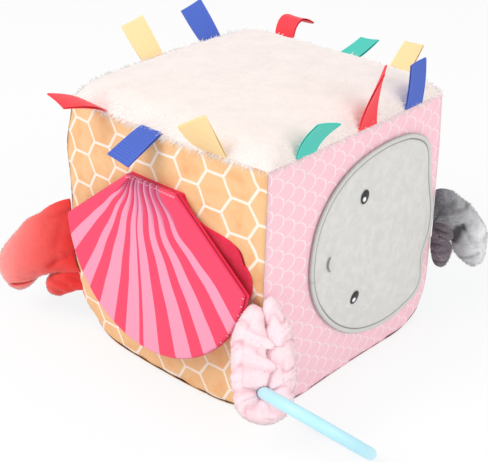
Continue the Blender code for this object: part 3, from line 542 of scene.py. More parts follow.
# Filling: two blocks of cut foam glued at mid height round a rattle, which is two plastic cups with a ball.
# The ball is free in its case, and both cups and the ball keep the shapes that the part's source turns.
def merged_copy(name, node_name):
    """A copy of a part's mesh with its loose corners joined, as a piece of its own."""
    all_off()
    piece = bpy.data.objects.new(name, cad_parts[node_name].data.copy())
    piece.data.name = name
    bpy.context.scene.collection.objects.link(piece)
    bpy.context.view_layer.objects.active = piece
    piece.select_set(True)
    bpy.ops.object.mode_set(mode="EDIT")
    bpy.ops.mesh.select_all(action="SELECT")
    bpy.ops.mesh.remove_doubles(threshold=0.01 * MM)
    bpy.ops.object.mode_set(mode="OBJECT")
    return piece


foam_finish, tree, shader = finish("Cut foam", 0.95, specular=0.1)
place = own_place(tree)
pores = node(tree, "TexVoronoi", {"Vector": place, "Scale": 1 / (1.3 * MM)}, feature="DISTANCE_TO_EDGE")
wall = eased(tree, pores.outputs["Distance"], 0.02, 0.3)
tree.links.new(blend_colour(tree, wall, dye("F4EBCF"), dye("E3D6B0")), shader.inputs["Base Color"])
raised(tree, shader, sum_of(tree, "SUBTRACT", 1.0, wall), 0.3 * MM)
for half in ("lower", "upper"):
    foam = merged_copy(f"foam_{half}_block", f"foam_core_{half}")
    rounding = foam.modifiers.new("Cut corners", "BEVEL")
    rounding.width, rounding.segments = 0.5 * MM, 2
    rounding.limit_method, rounding.angle_limit = "ANGLE", math.radians(50)
    bpy.ops.object.modifier_apply(modifier=rounding.name)
    bpy.ops.object.shade_smooth_by_angle(angle=math.radians(35))
    foam.data.materials.clear()
    dress(foam, foam_finish, "block", f"foam_core_{half}")

case_finish, tree, shader = finish("Moulded rattle plastic", 0.42, specular=0.5)
place = own_place(tree)
haze = node(tree, "TexNoise", {"Vector": place, "Scale": 1 / (6 * MM), "Detail": 3.0}).outputs["Fac"]
tree.links.new(blend_colour(tree, haze, dye("EDEDE8"), dye("F7F7F3")), shader.inputs["Base Color"])
tree.links.new(node(tree, "MapRange", {0: haze, 3: 0.36, 4: 0.5}).outputs[0], shader.inputs["Roughness"])
raised(tree, shader, node(tree, "TexNoise", {"Vector": place, "Scale": 1 / (0.8 * MM)}).outputs["Fac"], 0.03 * MM)
for title in ("rattle_case_lower", "rattle_case_upper", "rattle_ball"):
    for place_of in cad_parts[title].material_slots:
        place_of.material = case_finish

# Shell backing: a scalloped shape of soft red cloth, with its edge turned under, sewn flat on the front panel.
# Only its right side shows, in the shadow of the flap.
SHELL_RADIUS, SHELL_DROP, SHELL_GATHER, SHELL_SIDE, SHELL_TOP = 72 * MM, 28 * MM, 43 * MM, 0.5 * MM, 122 * MM
CLOTH_GAP, BACKING_THICKNESS, BACKING_HALF_ANGLE, BACKING_LOBES = 0.35 * MM, 1 * MM, 84, 7


def fan(across, down, half_angle, radius):
    """Places on the shell from its gather (down 0) to its rim (down 1), as a width and a drop."""
    angle = across * math.radians(half_angle)
    gather = np.where(across < 0, SHELL_GATHER / 2, SHELL_GATHER / 2 - 4 * MM)
    width = across * gather * (1 - down) + radius * np.sin(angle) * down
    return width, (SHELL_DROP + radius * np.cos(angle)) * down


def on_side(axis, side, along, height, lift):
    """Places on an upright panel, a distance along it from its middle, a height, and a lift off it."""
    unit = np.zeros((*np.shape(along), 3))
    unit[..., axis], unit[..., 1 - axis] = side, along / (BLOCK_SIDE / 2)
    unit[..., 2] = (height - BLOCK_SIDE / 2) / (BLOCK_SIDE / 2)
    place = np.zeros_like(unit)
    place[..., 1 - axis], place[..., 2] = along, height
    place[..., axis] = side * (BLOCK_SIDE / 2 + swell(unit, axis) + lift)
    return place


def backing_place(a, b, under):
    wave = np.abs(np.sin(math.pi / 2 * BACKING_LOBES * (a + 1)))
    # The lobes on the right stand out farther from under the flap than the ones on the left
    out = np.clip(a * 1.6, 0, 1)
    radius = SHELL_RADIUS - 8 * MM + 4.5 * MM * out - (3.5 + 5 * out) * MM * (1 - wave ** (1 - 0.5 * out))
    down = (b + 1) / 2
    width, drop = fan(a * (1 + 0.083 * out), down, BACKING_HALF_ANGLE, radius)
    bulge = -4.2 * MM * out**6 * np.sin(math.tau * down**1.15) * np.clip((1 - down) / 0.2, 0, 1)
    width, drop = width + bulge, drop - 0.6 * bulge
    rim = np.minimum((1 - down) * 90 * MM, (1 - np.abs(a)) * 80 * MM * np.maximum(down, 0.25))
    thick = BACKING_THICKNESS * (0.45 + 0.55 * np.minimum(1, rim / (1.5 * MM)) ** 0.5)
    puff = 0.25 * MM * waves(width, drop, 16 * MM, 31) * np.minimum(1, rim / (4 * MM))
    lift = CLOTH_GAP + (1 - under) * (thick + puff)
    return on_side(1, -1, SHELL_SIDE + width, SHELL_TOP - drop, lift), np.stack([width, -drop, rim], 1)


def brushed_cloth(name, deep, light):
    """A soft cloth with a short nap, mottled between two shades."""
    made, tree, shader = finish(name, 0.9, sheen=0.25, specular=0.12)
    place = marked(tree)
    fibres = use(tree, nap, {"Place": place, "Size": 1.0 * MM})
    share = sum_of(tree, "ADD", fibres["Height"], sum_of(tree, "MULTIPLY", fibres["Shade"], 0.8))
    tree.links.new(blend_colour(tree, eased(tree, share, 0.55, 1.25), deep, light), shader.inputs["Base Color"])
    threads = use(tree, weave, {"Place": place, "Pitch": 0.45 * MM})
    raised(tree, shader, sum_of(tree, "ADD", fibres["Height"], threads["Height"]), 0.14 * MM, 0.7)
    return made


red_cloth = brushed_cloth("Red backing cloth", dye("DC1F42"), dye("F03A5A"))
backing = cloth("shell_backing_cloth", 168, 40, backing_place)
dress(backing, red_cloth, "block", "shell_backing")

# Shell flap: a printed satin front and a red lining round a crinkling film, sewn along the rim and turned.
# Its top edge is gathered into pleats and sewn to the panel, so the stripes of the print run together there.
OPENING = math.radians(6)
FLAP_FALL = np.array((0, -math.sin(OPENING), -math.cos(OPENING)))
FLAP_OUT = np.array((0, -math.cos(OPENING), math.sin(OPENING)))
hinge = on_side(1, -1, SHELL_SIDE, SHELL_TOP, 2.6 * MM)
# The pale stripes' edges at the rim, in degrees from the middle
FLAP_HALF_ANGLE = 81
STRIPES = [(-71, -63), (-52, -44), (-35, -23), (-14.5, -4.5), (-1.5, 9), (19, 30), (38.5, 48), (58.5, 66.5)]


def flap_layer(bottom, thickness, share=1.0, puff=0.0, pleats=0.0):
    """One layer of the flap, as a place for each point of a grid."""

    def place(a, b, under):
        across, down = a * share, (1 - share) / 2 + share * (b + 1) / 2
        width, drop = fan(across, down, FLAP_HALF_ANGLE, SHELL_RADIUS)
        width = width - 1.5 * MM * np.maximum(0, across) ** 5 if pleats else width
        full = (1 - across**2) * 4 * down * (1 - down)
        rim = np.minimum((1 - down) * 100 * MM, (1 - np.abs(across)) * 90 * MM * np.maximum(down, 0.3))
        turn = np.minimum(1, rim / (2.2 * MM))
        thick = thickness * (0.12 + 0.88 * np.sqrt(1 - (1 - turn) ** 2)) if pleats else thickness
        # The stripes run together in the left of the gather, and the cloth folds in along their edges there
        m = np.maximum(0.001, (1 - down) ** 3)
        spread = 1 - 0.367 * m
        inside = spread**2 + 1.348 * m * (0.487 * m + across)
        stripe = (np.sqrt(np.maximum(0, inside)) - spread) / (0.674 * m)
        stripe = stripe + 0.09 * np.sin(24 * down + 0.6) * np.exp(-down / 0.15)
        edges = np.array(STRIPES).ravel() / FLAP_HALF_ANGLE
        off = np.abs(stripe[:, None] - edges[None]).min(1) * (1 - 0.5 * m)
        near = np.clip(1.25 - down / 0.24, 0, 1)
        # The creases press the cloth in and carry painted shade
        crease_and_shade = np.exp(-((off / 0.022) ** 2)) * near
        ripple = (0.35 * MM * waves(width, drop, 34 * MM, 42) if pleats else 0) * turn
        outer = thick + turn * (pleats * (0.7 * near - crease_and_shade) + ripple)
        lift = bottom + puff * full + (1 - under) * outer
        points = hinge + np.outer(width, (1, 0, 0)) + np.outer(drop, FLAP_FALL) + np.outer(lift, FLAP_OUT)
        return points, np.stack([np.clip(stripe, -1, 1) * FLAP_HALF_ANGLE, crease_and_shade, rim], 1)

    return place


def stripe_paint(tree, turn):
    """Eight pale stripes on bright pink, by their angle at the rim."""
    share = sum_of(tree, "MULTIPLY_ADD", turn, 1 / 180, 0.5)
    ramp = node(tree, "ValToRGB", {0: share})
    ramp.color_ramp.interpolation = "CONSTANT"
    stops = ramp.color_ramp.elements
    stops[0].position, stops[0].color = 0, (0, 0, 0, 1)
    stops.remove(stops[1])
    for low, high in STRIPES:
        stops.new(low / 180 + 0.5).color = (1, 1, 1, 1)
        stops.new(high / 180 + 0.5).color = (0, 0, 0, 1)
    return ramp.outputs[0]


satin, tree, shader = finish("Striped satin", 0.7, sheen=0.15, specular=0.25)
place = marked(tree)
turn, crease_and_shade, rim = node(tree, "SeparateXYZ", {0: place}).outputs
flat_place = own_place(tree)
fibres = use(tree, nap, {"Place": flat_place, "Size": 0.9 * MM})
colour = blend_colour(tree, stripe_paint(tree, turn), dye("F0486A"), dye("F49AB6"))
# Painted shade: dark plum along the creases where the stripes run together
colour = blend_colour(tree, sum_of(tree, "MULTIPLY", crease_and_shade, 0.75), colour, dye("96527E"))
edge = sum_of(tree, "SUBTRACT", 1.0, eased(tree, rim, 0.2 * MM, 1.1 * MM))
colour = blend_colour(tree, sum_of(tree, "MULTIPLY", edge, 0.55), colour, dye("D92A55"))
light = node(tree, "MapRange", {0: fibres["Height"], 1: 0.3, 2: 0.7, 3: 0.965, 4: 1.02}).outputs[0]
dyed(tree, shader, colour, light)
raised(tree, shader, fibres["Height"], 0.1 * MM, 0.6)

film, tree, shader = finish("Crinkle film", 0.25, specular=0.5)
facets = node(tree, "TexVoronoi", {"Vector": own_place(tree), "Scale": 1 / (7 * MM)}, feature="F1")
colour = blend_colour(tree, facets.outputs["Distance"], dye("D9DCE0"), dye("F2F3F5"))
tree.links.new(colour, shader.inputs["Base Color"])
raised(tree, shader, facets.outputs["Distance"], 1.2 * MM)

FLAP_FLAT, FLAP_AREA, FILM_SHARE = (0.145, 0.101), 0.0107, 0.84
flap_surface = flap_layer(0.75 * MM, 1.4 * MM, puff=2.6 * MM, pleats=1.3 * MM)
for title, columns, rows, layer, coat, slot, share in (
    ("shell_flap_lining", 90, 60, flap_layer(-0.9 * MM, 0.9 * MM), red_cloth, "shell_red", 1),
    ("shell_crinkle_film", 60, 50, flap_layer(CLOTH_GAP, 0.3 * MM, share=FILM_SHARE), film, "crinkle_film", FILM_SHARE),
    ("shell_flap_front", 190, 110, flap_surface, satin, "shell_pink", 1),
):
    piece = cloth(title + "_cloth", columns, rows, layer)
    dress(piece, coat, "flap", title)


def stitches(name, body, ends, colour, radius):
    """Short stitches of thread, each a rounded bar from one place to another."""
    made, tree, shader = finish(name.replace("_", " ").capitalize(), 0.6, sheen=0.2, specular=0.3)
    place = own_place(tree)
    twist = node(tree, "TexNoise", {"Vector": place, "Scale": 1 / (0.5 * MM)}).outputs["Fac"]
    deep = tuple(0.8 * v for v in dye(colour)[:3]) + (1,)
    tree.links.new(blend_colour(tree, twist, deep, dye(colour)), shader.inputs["Base Color"])
    raised(tree, shader, twist, 0.1 * MM)
    all_off()
    bars = []
    for first, second in ends:
        bpy.ops.mesh.primitive_uv_sphere_add(segments=8, ring_count=8, radius=1)
        bars.append(bpy.context.object)
        unit, along = corners(bars[-1].data), second - first
        side = np.cross(along, (0.3, 0.5, 0.8))
        side = side / np.linalg.norm(side) * radius
        up = np.cross(side, along) / np.linalg.norm(along)
        middle = (first + second) / 2 + np.outer(unit[:, 2], along / 2)
        points = middle + np.outer(unit[:, 0], side) + np.outer(unit[:, 1], up)
        bars[-1].data.vertices.foreach_set("co", points.ravel())
        bars[-1].data.update()
    for bar in bars:
        bar.select_set(True)
    bpy.context.view_layer.objects.active = bars[0]
    bpy.ops.object.join()
    bars[0].name = bars[0].data.name = name
    bpy.ops.object.shade_smooth()
    bars[0].data.materials.append(made)
    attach(bars[0], body)


zigzag = [(a, (0.7 + 1.2 * (k % 2)) * MM / (SHELL_DROP + SHELL_RADIUS * math.cos(1.41 * a)))
          for k, a in enumerate(np.linspace(-0.95, 0.97, 29))]
zigzag_places = flap_surface(*np.array([(a, 2 * d - 1) for a, d in zigzag]).T, np.zeros(29))[0] + FLAP_OUT * 0.1 * MM
stitches("shell_flap_zigzag", "flap", list(zip(zigzag_places, zigzag_places[1:])), "F9CBD8", 0.16 * MM)
rim_angles = np.array([0.98, 0.93, 0.87, 0.82, 0.76, 0.71, 0.64, 0.58])
inner, outer = (flap_surface(rim_angles, rim_angles * 0 + b, rim_angles * 0)[0] + FLAP_OUT * 0.15 * MM
                for b in (0.975, 1.0))
stitches("shell_flap_rim_stitches", "flap", list(zip(inner, outer)), "FBE3EA", 0.2 * MM)

# Animal: a velour shape sewn on the right panel, with a satin-stitched edge, two embroidered eyes and a mouth.
# The edge is a thick cord of close stitches, with a thin gap between it and the velour that painted shade darkens.
ANIMAL_LENGTH, ANIMAL_THICKNESS, ANIMAL_HEIGHT = 114 * MM, 1.6 * MM, 77.7 * MM
ANIMAL_ALONG = BLOCK_SIDE / 2 - 6.4 * MM - 0.484 * ANIMAL_LENGTH
ANIMAL_SHARES = (0.484, 0.466, 0.486, 0.556, 0.547, 0.516, 0.498, 0.497, 0.508, 0.518, 0.519, 0.506,
                 0.494, 0.478, 0.459, 0.448, 0.448, 0.459, 0.481, 0.517, 0.56, 0.596, 0.482, 0.492)


def smooth(points, share, closed=False):
    """Places on a smooth curve through the points, at shares of its way."""
    points = np.array(points, dtype=float)
    last = len(points) - (not closed)
    along = np.asarray(share) * last
    index = np.clip(np.floor(along).astype(int), 0, last - 1)
    t = (along - index).reshape(-1, *[1] * (points.ndim - 1))
    picks = [(index + k) % last if closed else np.clip(index + k, 0, last) for k in (-1, 0, 1, 2)]
    before, start, end, after = (points[pick] for pick in picks)
    bend, turn = 2 * before - 5 * start + 4 * end - after, 3 * start - before - 3 * end + after
    return (2 * start + (end - before) * t + bend * t**2 + turn * t**3) / 2


def animal_edge(angle):
    """The outline's distance from the animal's middle."""
    return ANIMAL_LENGTH * smooth(ANIMAL_SHARES, angle / math.tau % 1, closed=True)


def velour_place(a, b, under):
    x, y = a * np.sqrt(1 - b**2 / 2), b * np.sqrt(1 - a**2 / 2)
    angle, share = np.arctan2(y, x), np.hypot(x, y)
    reach = share * animal_edge(angle)
    along, height = ANIMAL_ALONG + reach * np.cos(angle), ANIMAL_HEIGHT + reach * np.sin(angle)
    rim = (1 - share) * ANIMAL_LENGTH / 2
    turned = 1 - (1 - np.minimum(1, rim / (0.9 * MM))) ** 2
    puff = 0.35 * MM * np.minimum(1, rim / (9 * MM)) * (1 + waves(along, height, 38 * MM, 61))
    lift = CLOTH_GAP + (1 - under) * (ANIMAL_THICKNESS * (0.6 + 0.25 * turned) + puff)
    return on_side(0, 1, along, height, lift), np.stack([along, height, rim], 1)


velour, tree, shader = finish("Grey velour", 0.95, sheen=0.35, specular=0.1)
place = marked(tree)
fibres = use(tree, nap, {"Place": place, "Size": 0.8 * MM})
threads = use(tree, weave, {"Place": place, "Pitch": 0.8 * MM})
rim = node(tree, "SeparateXYZ", {0: place}).outputs[2]
share = sum_of(tree, "MULTIPLY", fibres["Height"], 0.6)
share = sum_of(tree, "ADD", share, sum_of(tree, "MULTIPLY", fibres["Shade"], 0.7))
colour = blend_colour(tree, eased(tree, share, 0.5, 0.85), dye("D3D2CE"), dye("DEDDDA"))
# Painted shade: the velour darkens within 0.9 mm of its rim, next to the cord
painted_groove_shade = sum_of(tree, "SUBTRACT", 1.0, eased(tree, rim, 0.25 * MM, 0.9 * MM))
tree.links.new(blend_colour(tree, painted_groove_shade, colour, dye("A09F9D")), shader.inputs["Base Color"])
raised(tree, shader, sum_of(tree, "ADD", fibres["Height"], threads["Height"]), 0.1 * MM, 0.6)
applique = cloth("animal_velour", 90, 90, velour_place)
dress(applique, velour, "block", "animal_applique")


def thread(name, colour, glint=None):
    """Close satin stitches: shiny thread with ridges across the way it is sewn, and painted shade between them."""
    made, tree, shader = finish(name, 0.5, sheen=0.2, specular=0.35)
    place = marked(tree)
    along, across, outer = node(tree, "SeparateXYZ", {0: place}).outputs
    slant = sum_of(tree, "MULTIPLY_ADD", across, 0.35, along)
    ridge = sum_of(tree, "SINE", sum_of(tree, "MULTIPLY", slant, math.tau / (0.75 * MM)))
    share = sum_of(tree, "MULTIPLY_ADD", ridge, 0.25, 0.5)
    # Painted shade: the thread darkens to 72% of its colour between the ridges
    tone = blend_colour(tree, share, tuple(0.72 * v for v in colour[:3]) + (1,), colour)
    # Without a glint colour the cord's outer side darkens: painted contact shadow, and the darker fuzz of the thread
    tone = blend_colour(tree, sum_of(tree, "MULTIPLY", outer, 0.65), tone, dye("8A8988")) if glint is None else tone
    if glint:
        tone = blend_colour(tree, outer, tone, dye(glint))
    tree.links.new(tone, shader.inputs["Base Color"])
    raised(tree, shader, share, 0.18 * MM)
    return made


def shaped(piece, name, place):
    """Move the points of a fresh primitive to place(its points), and mark them for the material."""
    piece.name = piece.data.name = name
    points, marks = place(corners(piece.data))
    piece.data.vertices.foreach_set("co", points.ravel())
    mark(piece.data, "cloth", marks)
    piece.data.update()
    face_outwards(piece)
    bpy.ops.object.shade_smooth_by_angle(angle=math.radians(70))
    return piece


def cord_place(unit):
    angle, turn = np.arctan2(unit[:, 1], unit[:, 0]), np.arctan2(unit[:, 2], np.hypot(unit[:, 0], unit[:, 1]) - 1)
    ragged = 0.12 * MM * np.sin(angle * 173) * np.maximum(0, np.cos(turn))
    reach = animal_edge(angle) + 1.6 * MM + 1.5 * MM * np.cos(turn) + ragged
    lift = CLOTH_GAP + (1 + np.sin(turn)) * 1.0 * MM
    along, height = ANIMAL_ALONG + reach * np.cos(angle), ANIMAL_HEIGHT + reach * np.sin(angle)
    # The cord's outer side, which the grey thread darkens as painted contact shadow
    outer = np.clip(np.cos(turn) * 2 - 0.9, 0, 1)
    return on_side(0, 1, along, height, lift), np.stack([angle * ANIMAL_LENGTH / 2, np.cos(turn) * MM, outer], 1)


grey_thread = thread("Grey thread", dye("E2E1DE"))
all_off()
bpy.ops.mesh.primitive_torus_add(major_segments=420, minor_segments=14, major_radius=1, minor_radius=0.2)
border = shaped(bpy.context.object, "animal_satin_edge", cord_place)
dress(border, grey_thread, "block", "animal_border")

EYE_WIDTH, EYE_LENGTH, EYE_THICKNESS, EYE_TILT = 6.2 * MM, 8.2 * MM, 0.75 * MM, math.radians(33)
ON_ANIMAL = CLOTH_GAP * 2 + ANIMAL_THICKNESS
black_thread = thread("Black thread", dye("2B2A2C"), glint="FFFFFF")
for which, across, up in (("upper", -0.145, 0.312), ("lower", -0.196, -0.216)):

    def eye_place(unit):
        first, second = unit[:, 0] * EYE_WIDTH / 2, unit[:, 1] * EYE_LENGTH / 2
        along = first * math.cos(EYE_TILT) + second * math.sin(EYE_TILT)
        rise = second * math.cos(EYE_TILT) - first * math.sin(EYE_TILT)
        glint = np.clip(2.2 - np.hypot(along + 1.15 * MM, rise + 0.9 * MM) / (0.75 * MM), 0, 1)
        lift = ON_ANIMAL + (0.3 + 0.7 * unit[:, 2]) * EYE_THICKNESS
        where = on_side(0, 1, ANIMAL_ALONG + across * ANIMAL_LENGTH + along,
                        ANIMAL_HEIGHT + up * ANIMAL_LENGTH + rise, lift)
        return where, np.stack([rise, along, glint], 1)

    all_off()
    bpy.ops.mesh.primitive_uv_sphere_add(segments=72, ring_count=48, radius=1)
    eye = shaped(bpy.context.object, f"animal_eye_{which}_satin", eye_place)
    dress(eye, black_thread, "block", f"animal_eye_{which}")


def mouth_place(unit):
    share = unit[:, 2]
    thick = 0.55 * MM * np.sqrt(np.maximum(0, 1 - share**6))
    reach = np.hypot(unit[:, 0], unit[:, 1])
    first, second = unit[:, 0] / np.maximum(reach, 0.01) * thick, unit[:, 1] / np.maximum(reach, 0.01) * thick
    edge = np.where(reach > 0.001, 1, 0)
    along = ANIMAL_ALONG - 0.411 * ANIMAL_LENGTH + 2 * MM * share**2 + first * edge
    rise = ANIMAL_HEIGHT + 0.048 * ANIMAL_LENGTH + 4.75 * MM * share
    return on_side(0, 1, along, rise, ON_ANIMAL + 0.3 * MM + second * edge), np.stack([rise, first, share * 0], 1)


all_off()
bpy.ops.mesh.primitive_uv_sphere_add(segments=12, ring_count=60, radius=1)
mouth = shaped(bpy.context.object, "animal_mouth_satin", mouth_place)
mouth_thread = thread("Mouth thread", dye("9C9B9A"), glint="9C9B9A")
dress(mouth, mouth_thread, "block", "animal_mouth")

# Tail: grey plush stuffed with fibre and sewn in the back right seam: a drooping fluke over a stalk and a stub.
# Its cloth is crushed, so that it folds across the fluke and gathers under the arch.
UP, LIMB_SEAT = np.array((0, 0, 1.0)), 0.8 * MM


def stuffed(name, sides, rings, place, body, made):
    """A closed stuffed piece from a sphere: place(t, turn) gives its points from root to tip and its painted shading.
    """
    all_off()
    bpy.ops.mesh.primitive_uv_sphere_add(segments=sides, ring_count=rings, radius=1)
    piece = bpy.context.object
    piece.name = piece.data.name = name
    unit = corners(piece.data)
    t, turn = np.arccos(np.clip(-unit[:, 2], -1, 1)) / math.pi, np.arctan2(unit[:, 1], unit[:, 0])
    points, folds = place(t, turn)
    piece.data.vertices.foreach_set("co", points.ravel())
    mark(piece.data, "fold", folds)
    piece.data.update()
    face_outwards(piece)
    bpy.ops.object.shade_smooth()
    piece.data.materials.append(made)
    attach(piece, body)
    return piece


def pressed(first, second, folds):
    """How deep the folds press in at these places: each fold is a line with a width and a depth."""
    total = 0
    for (x, y), (x_end, y_end), wide, deep in folds:
        run, rise = (x_end - x) * MM, (y_end - y) * MM
        share = np.clip(((first - x * MM) * run + (second - y * MM) * rise) / (run**2 + rise**2), 0, 1)
        off = np.hypot(first - x * MM - share * run, second - y * MM - share * rise) / (wide * MM)
        total = total + deep * MM * (np.exp(-(off**2)) - 0.3 * np.exp(-((off - 2) ** 2)))
    return total


def limb(name, root, heading, sizes, shares, body, made, folds, seed, crush, reach=30 * MM, tuck=0.0):
    """A stuffed limb that hangs in a seam: oval sections square to its path, pinched where it is sewn in."""
    length, height, thickness = sizes
    out = np.array((math.cos(math.radians(heading)), math.sin(math.radians(heading)), 0))
    across = np.cross(UP, out)

    def place(t, turn):
        way = np.clip((t - 0.025) / 0.95, 0, 1)
        full = np.sqrt(1 - (1 - np.minimum(1, np.minimum(t, 1 - t) / 0.025)) ** 2)
        row = smooth(shares, way)
        ahead = smooth(shares, np.minimum(1, way + 0.02)) - smooth(shares, np.maximum(0, way - 0.02))
        begun = np.minimum(1, way * 12)
        run = ahead[:, 0] * length * begun + (1 - begun) * 0.08 * length
        rise = ahead[:, 1] * height * begun
        size = np.hypot(run, rise)
        lift = np.sin(turn) * row[:, 2] * height * full
        u, v = row[:, 0] * length - rise / size * lift, row[:, 1] * height + run / size * lift
        # The lower edge follows the seam where the block draws in towards its base
        u = u - tuck * np.maximum(0, -v - 8 * MM) * np.exp(-np.maximum(0, u) / (8 * MM))
        half = row[:, 3] * thickness * full
        side = np.cos(turn)
        press = pressed(u, v, folds) + crush * waves(u + side * 3 * MM, v, 8 * MM, seed)
        pleat = 0.7 * MM * np.sin(v / (2.3 * MM) + 2 * waves(u, v, 20 * MM, seed + 1)) * np.exp(-u / (7 * MM))
        wide = np.maximum(0.3 * half, half - (press + pleat) * np.minimum(1, half / (2.5 * MM)))
        points = root + np.outer(u, out) + np.outer(v, UP) + np.outer(side * wide, across)
        # Painted shade where the folds press in and in the pleats by the seam; the second mark is painted light
        painted_cavity_shade = np.clip(press / (1.6 * MM), 0, 1) + 0.5 * np.clip(1 - u / (7 * MM), 0, 1) * (pleat > 0)
        return points, np.stack([np.clip(painted_cavity_shade, 0, 1), np.clip(u / reach, 0, 1) ** 1.4, 0 * u], 1)

    return stuffed(name, 120, 110, place, body, made)


def clear_of(root):
    """A limb's hairs begin this far from its seam, so that none reaches the block when it swings."""
    return lambda at, up: np.hypot(at[:, 0] - root[0], at[:, 1] - root[1]) > 9 * MM


def seam_root(x_side, y_side, height, heading):
    """The foot of a limb's axis, just outside an upright seam."""
    foot = skin(np.array((x_side, y_side, height / (BLOCK_SIDE / 2) - 1.0)))
    out = np.array((math.cos(math.radians(heading)), math.sin(math.radians(heading)), 0)) * LIMB_SEAT
    return np.array((foot[0], foot[1], height)) + out


TAIL_SIZES, TAIL_HEADING, TAIL_HEIGHT = (34 * MM, 52 * MM, 15 * MM), 45, 62 * MM
# Each form's rows are its shares of the length, height, half height and half thickness; its folds follow, and
# the widest of the fluke's is the hollow under the arch.
# The fluke's widest fold presses in the hollow under the arch, and its painted shade darkens it
TAIL_FORMS = {
    "tail_fluke": (((0, 0.294, 0.207, 0.06), (0.121, 0.296, 0.219, 0.15), (0.243, 0.253, 0.2, 0.27),
                    (0.373, 0.205, 0.183, 0.38), (0.497, 0.135, 0.179, 0.46), (0.602, 0.027, 0.182, 0.5),
                    (0.671, -0.087, 0.2, 0.5), (0.693, -0.206, 0.204, 0.5), (0.732, -0.303, 0.169, 0.46),
                    (0.754, -0.386, 0.141, 0.4), (0.733, -0.448, 0.099, 0.26), (0.711, -0.48, 0.043, 0.1)),
                   (((4, 10.5), (18.5, 15.3), 2.2, 1.1), ((17, 6), (21.5, -5), 1.2, 0.9),
                    ((18, -19), (28, -14.5), 1.4, 0.5), ((15, 2.5), (12.5, -6), 3.6, 2.2),
                    ((2, 13), (11, 18), 2.4, 1.1), ((1, 3), (9, 4), 1.6, 1.0))),
    "tail_stalk": (((0, -0.019, 0.13, 0.07), (0.103, -0.021, 0.13, 0.17), (0.193, -0.045, 0.128, 0.28),
                    (0.269, -0.085, 0.1, 0.25), (0.345, -0.12, 0.04, 0.12)),
                   (((2, 0), (9, -1.5), 0.8, 1.2), ((4, -4), (9, -6), 0.7, 1.0))),
    "tail_stub": (((-0.015, -0.181, 0.075, 0.07), (0.108, -0.212, 0.115, 0.16), (0.178, -0.278, 0.122, 0.24),
                   (0.181, -0.371, 0.103, 0.24), (0.196, -0.448, 0.079, 0.2), (0.229, -0.504, 0.029, 0.08)),
                  (((0, -10), (9, -11), 1.5, 1.0), ((1, -15.3), (10, -14.2), 1.7, 1.1),
                   ((2, -21), (9, -22.3), 1.5, 0.9))),
}
# Painted light and shade: the pale far colour farther out on the fluke, the deep colour in its folds
grey_plush = plush("Grey plush", dye("57565C"), dye("AEAEB3"), far=dye("EDEDEF"), deep=dye("4B484F"),
                   sheen=0.5, size=1.3 * MM, shade=0.3)
# Painted shade: a darker, purpler copy of the grey plush for the stalk and the stub under the arch
painted_shade_plush = plush("Grey plush in painted shade", dye("5A4F57"), dye("A69AA2"), far=dye("B4A9B0"),
                    deep=dye("4A4048"), sheen=0.3, shade=0.28)
tail_root = seam_root(1, 1, TAIL_HEIGHT, TAIL_HEADING)
for title, (shares, folds) in TAIL_FORMS.items():
    made = grey_plush if title == "tail_fluke" else painted_shade_plush
    piece = limb(title + "_plush", tail_root, TAIL_HEADING, TAIL_SIZES, shares, "tail", made, folds, 71, 0.45 * MM)
    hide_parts(title)
    pile(piece, title + "_pile", "tail", 3500 if title == "tail_fluke" else 1200, 0.8 * MM, 0.24 * MM, 72,
         keep=clear_of(tail_root))

# Claw: red plush stuffed with fibre and sewn in the front left seam, a broad palm with a thumb under it.
# Wrinkles run out from the seam, and the tips are tucked under.
CLAW_SIZES, CLAW_HEADING, CLAW_HEIGHT = (56 * MM, 48 * MM, 26 * MM), -157, 60 * MM
CLAW_FORMS = {
    "claw_palm": (((0, 0.026, 0.523, 0.04), (0.182, -0.092, 0.447, 0.15), (0.334, -0.166, 0.406, 0.28),
                   (0.436, -0.245, 0.371, 0.38), (0.524, -0.32, 0.334, 0.46), (0.604, -0.405, 0.31, 0.5),
                   (0.669, -0.496, 0.293, 0.5), (0.695, -0.595, 0.273, 0.48), (0.711, -0.688, 0.228, 0.42),
                   (0.728, -0.774, 0.172, 0.33), (0.745, -0.851, 0.104, 0.17), (0.757, -0.909, 0.022, 0.05)),
                  (((5, 16), (11, -6), 2.6, 0.6), ((10, -12), (15, -22), 2.0, 0.6),
                   ((39, -34.5), (28, -32.5), 1.2, 2.0),
                   ((3, 17), (14, 12), 1.8, 0.5), ((4, -12), (15, -19), 1.7, 0.8))),
    "claw_thumb": (((-0.03, -0.617, 0.12, 0.04), (0.092, -0.634, 0.144, 0.12), (0.178, -0.68, 0.151, 0.22),
                    (0.254, -0.722, 0.151, 0.27), (0.309, -0.75, 0.12, 0.23), (0.336, -0.758, 0.087, 0.14),
                    (0.356, -0.763, 0.047, 0.04)),
                   (((15, -29), (5, -32), 1.8, 0.7), ((14, -34), (8, -37), 1.7, 0.5))),
}
# Painted light and shade: the pale far colour farther out on the claw, the deep colour in its folds
red_plush = plush("Red plush", dye("E62F2C"), dye("F4433E"), far=dye("FF9C97"), deep=dye("D02B2C"),
                  sheen=0.5, size=1.1 * MM, shade=0.06)
claw_root = seam_root(-1, -1, CLAW_HEIGHT, CLAW_HEADING)
for title, (shares, folds) in CLAW_FORMS.items():
    piece = limb(title + "_plush", claw_root, CLAW_HEADING, CLAW_SIZES, shares, "claw", red_plush, folds, 75,
                 0.1 * MM, 52 * MM, tuck=0.12)
    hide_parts(title)
    pile(piece, title + "_pile", "claw", 5000 if title == "claw_palm" else 1800, 0.6 * MM, 0.2 * MM, 76,
         keep=clear_of(claw_root))

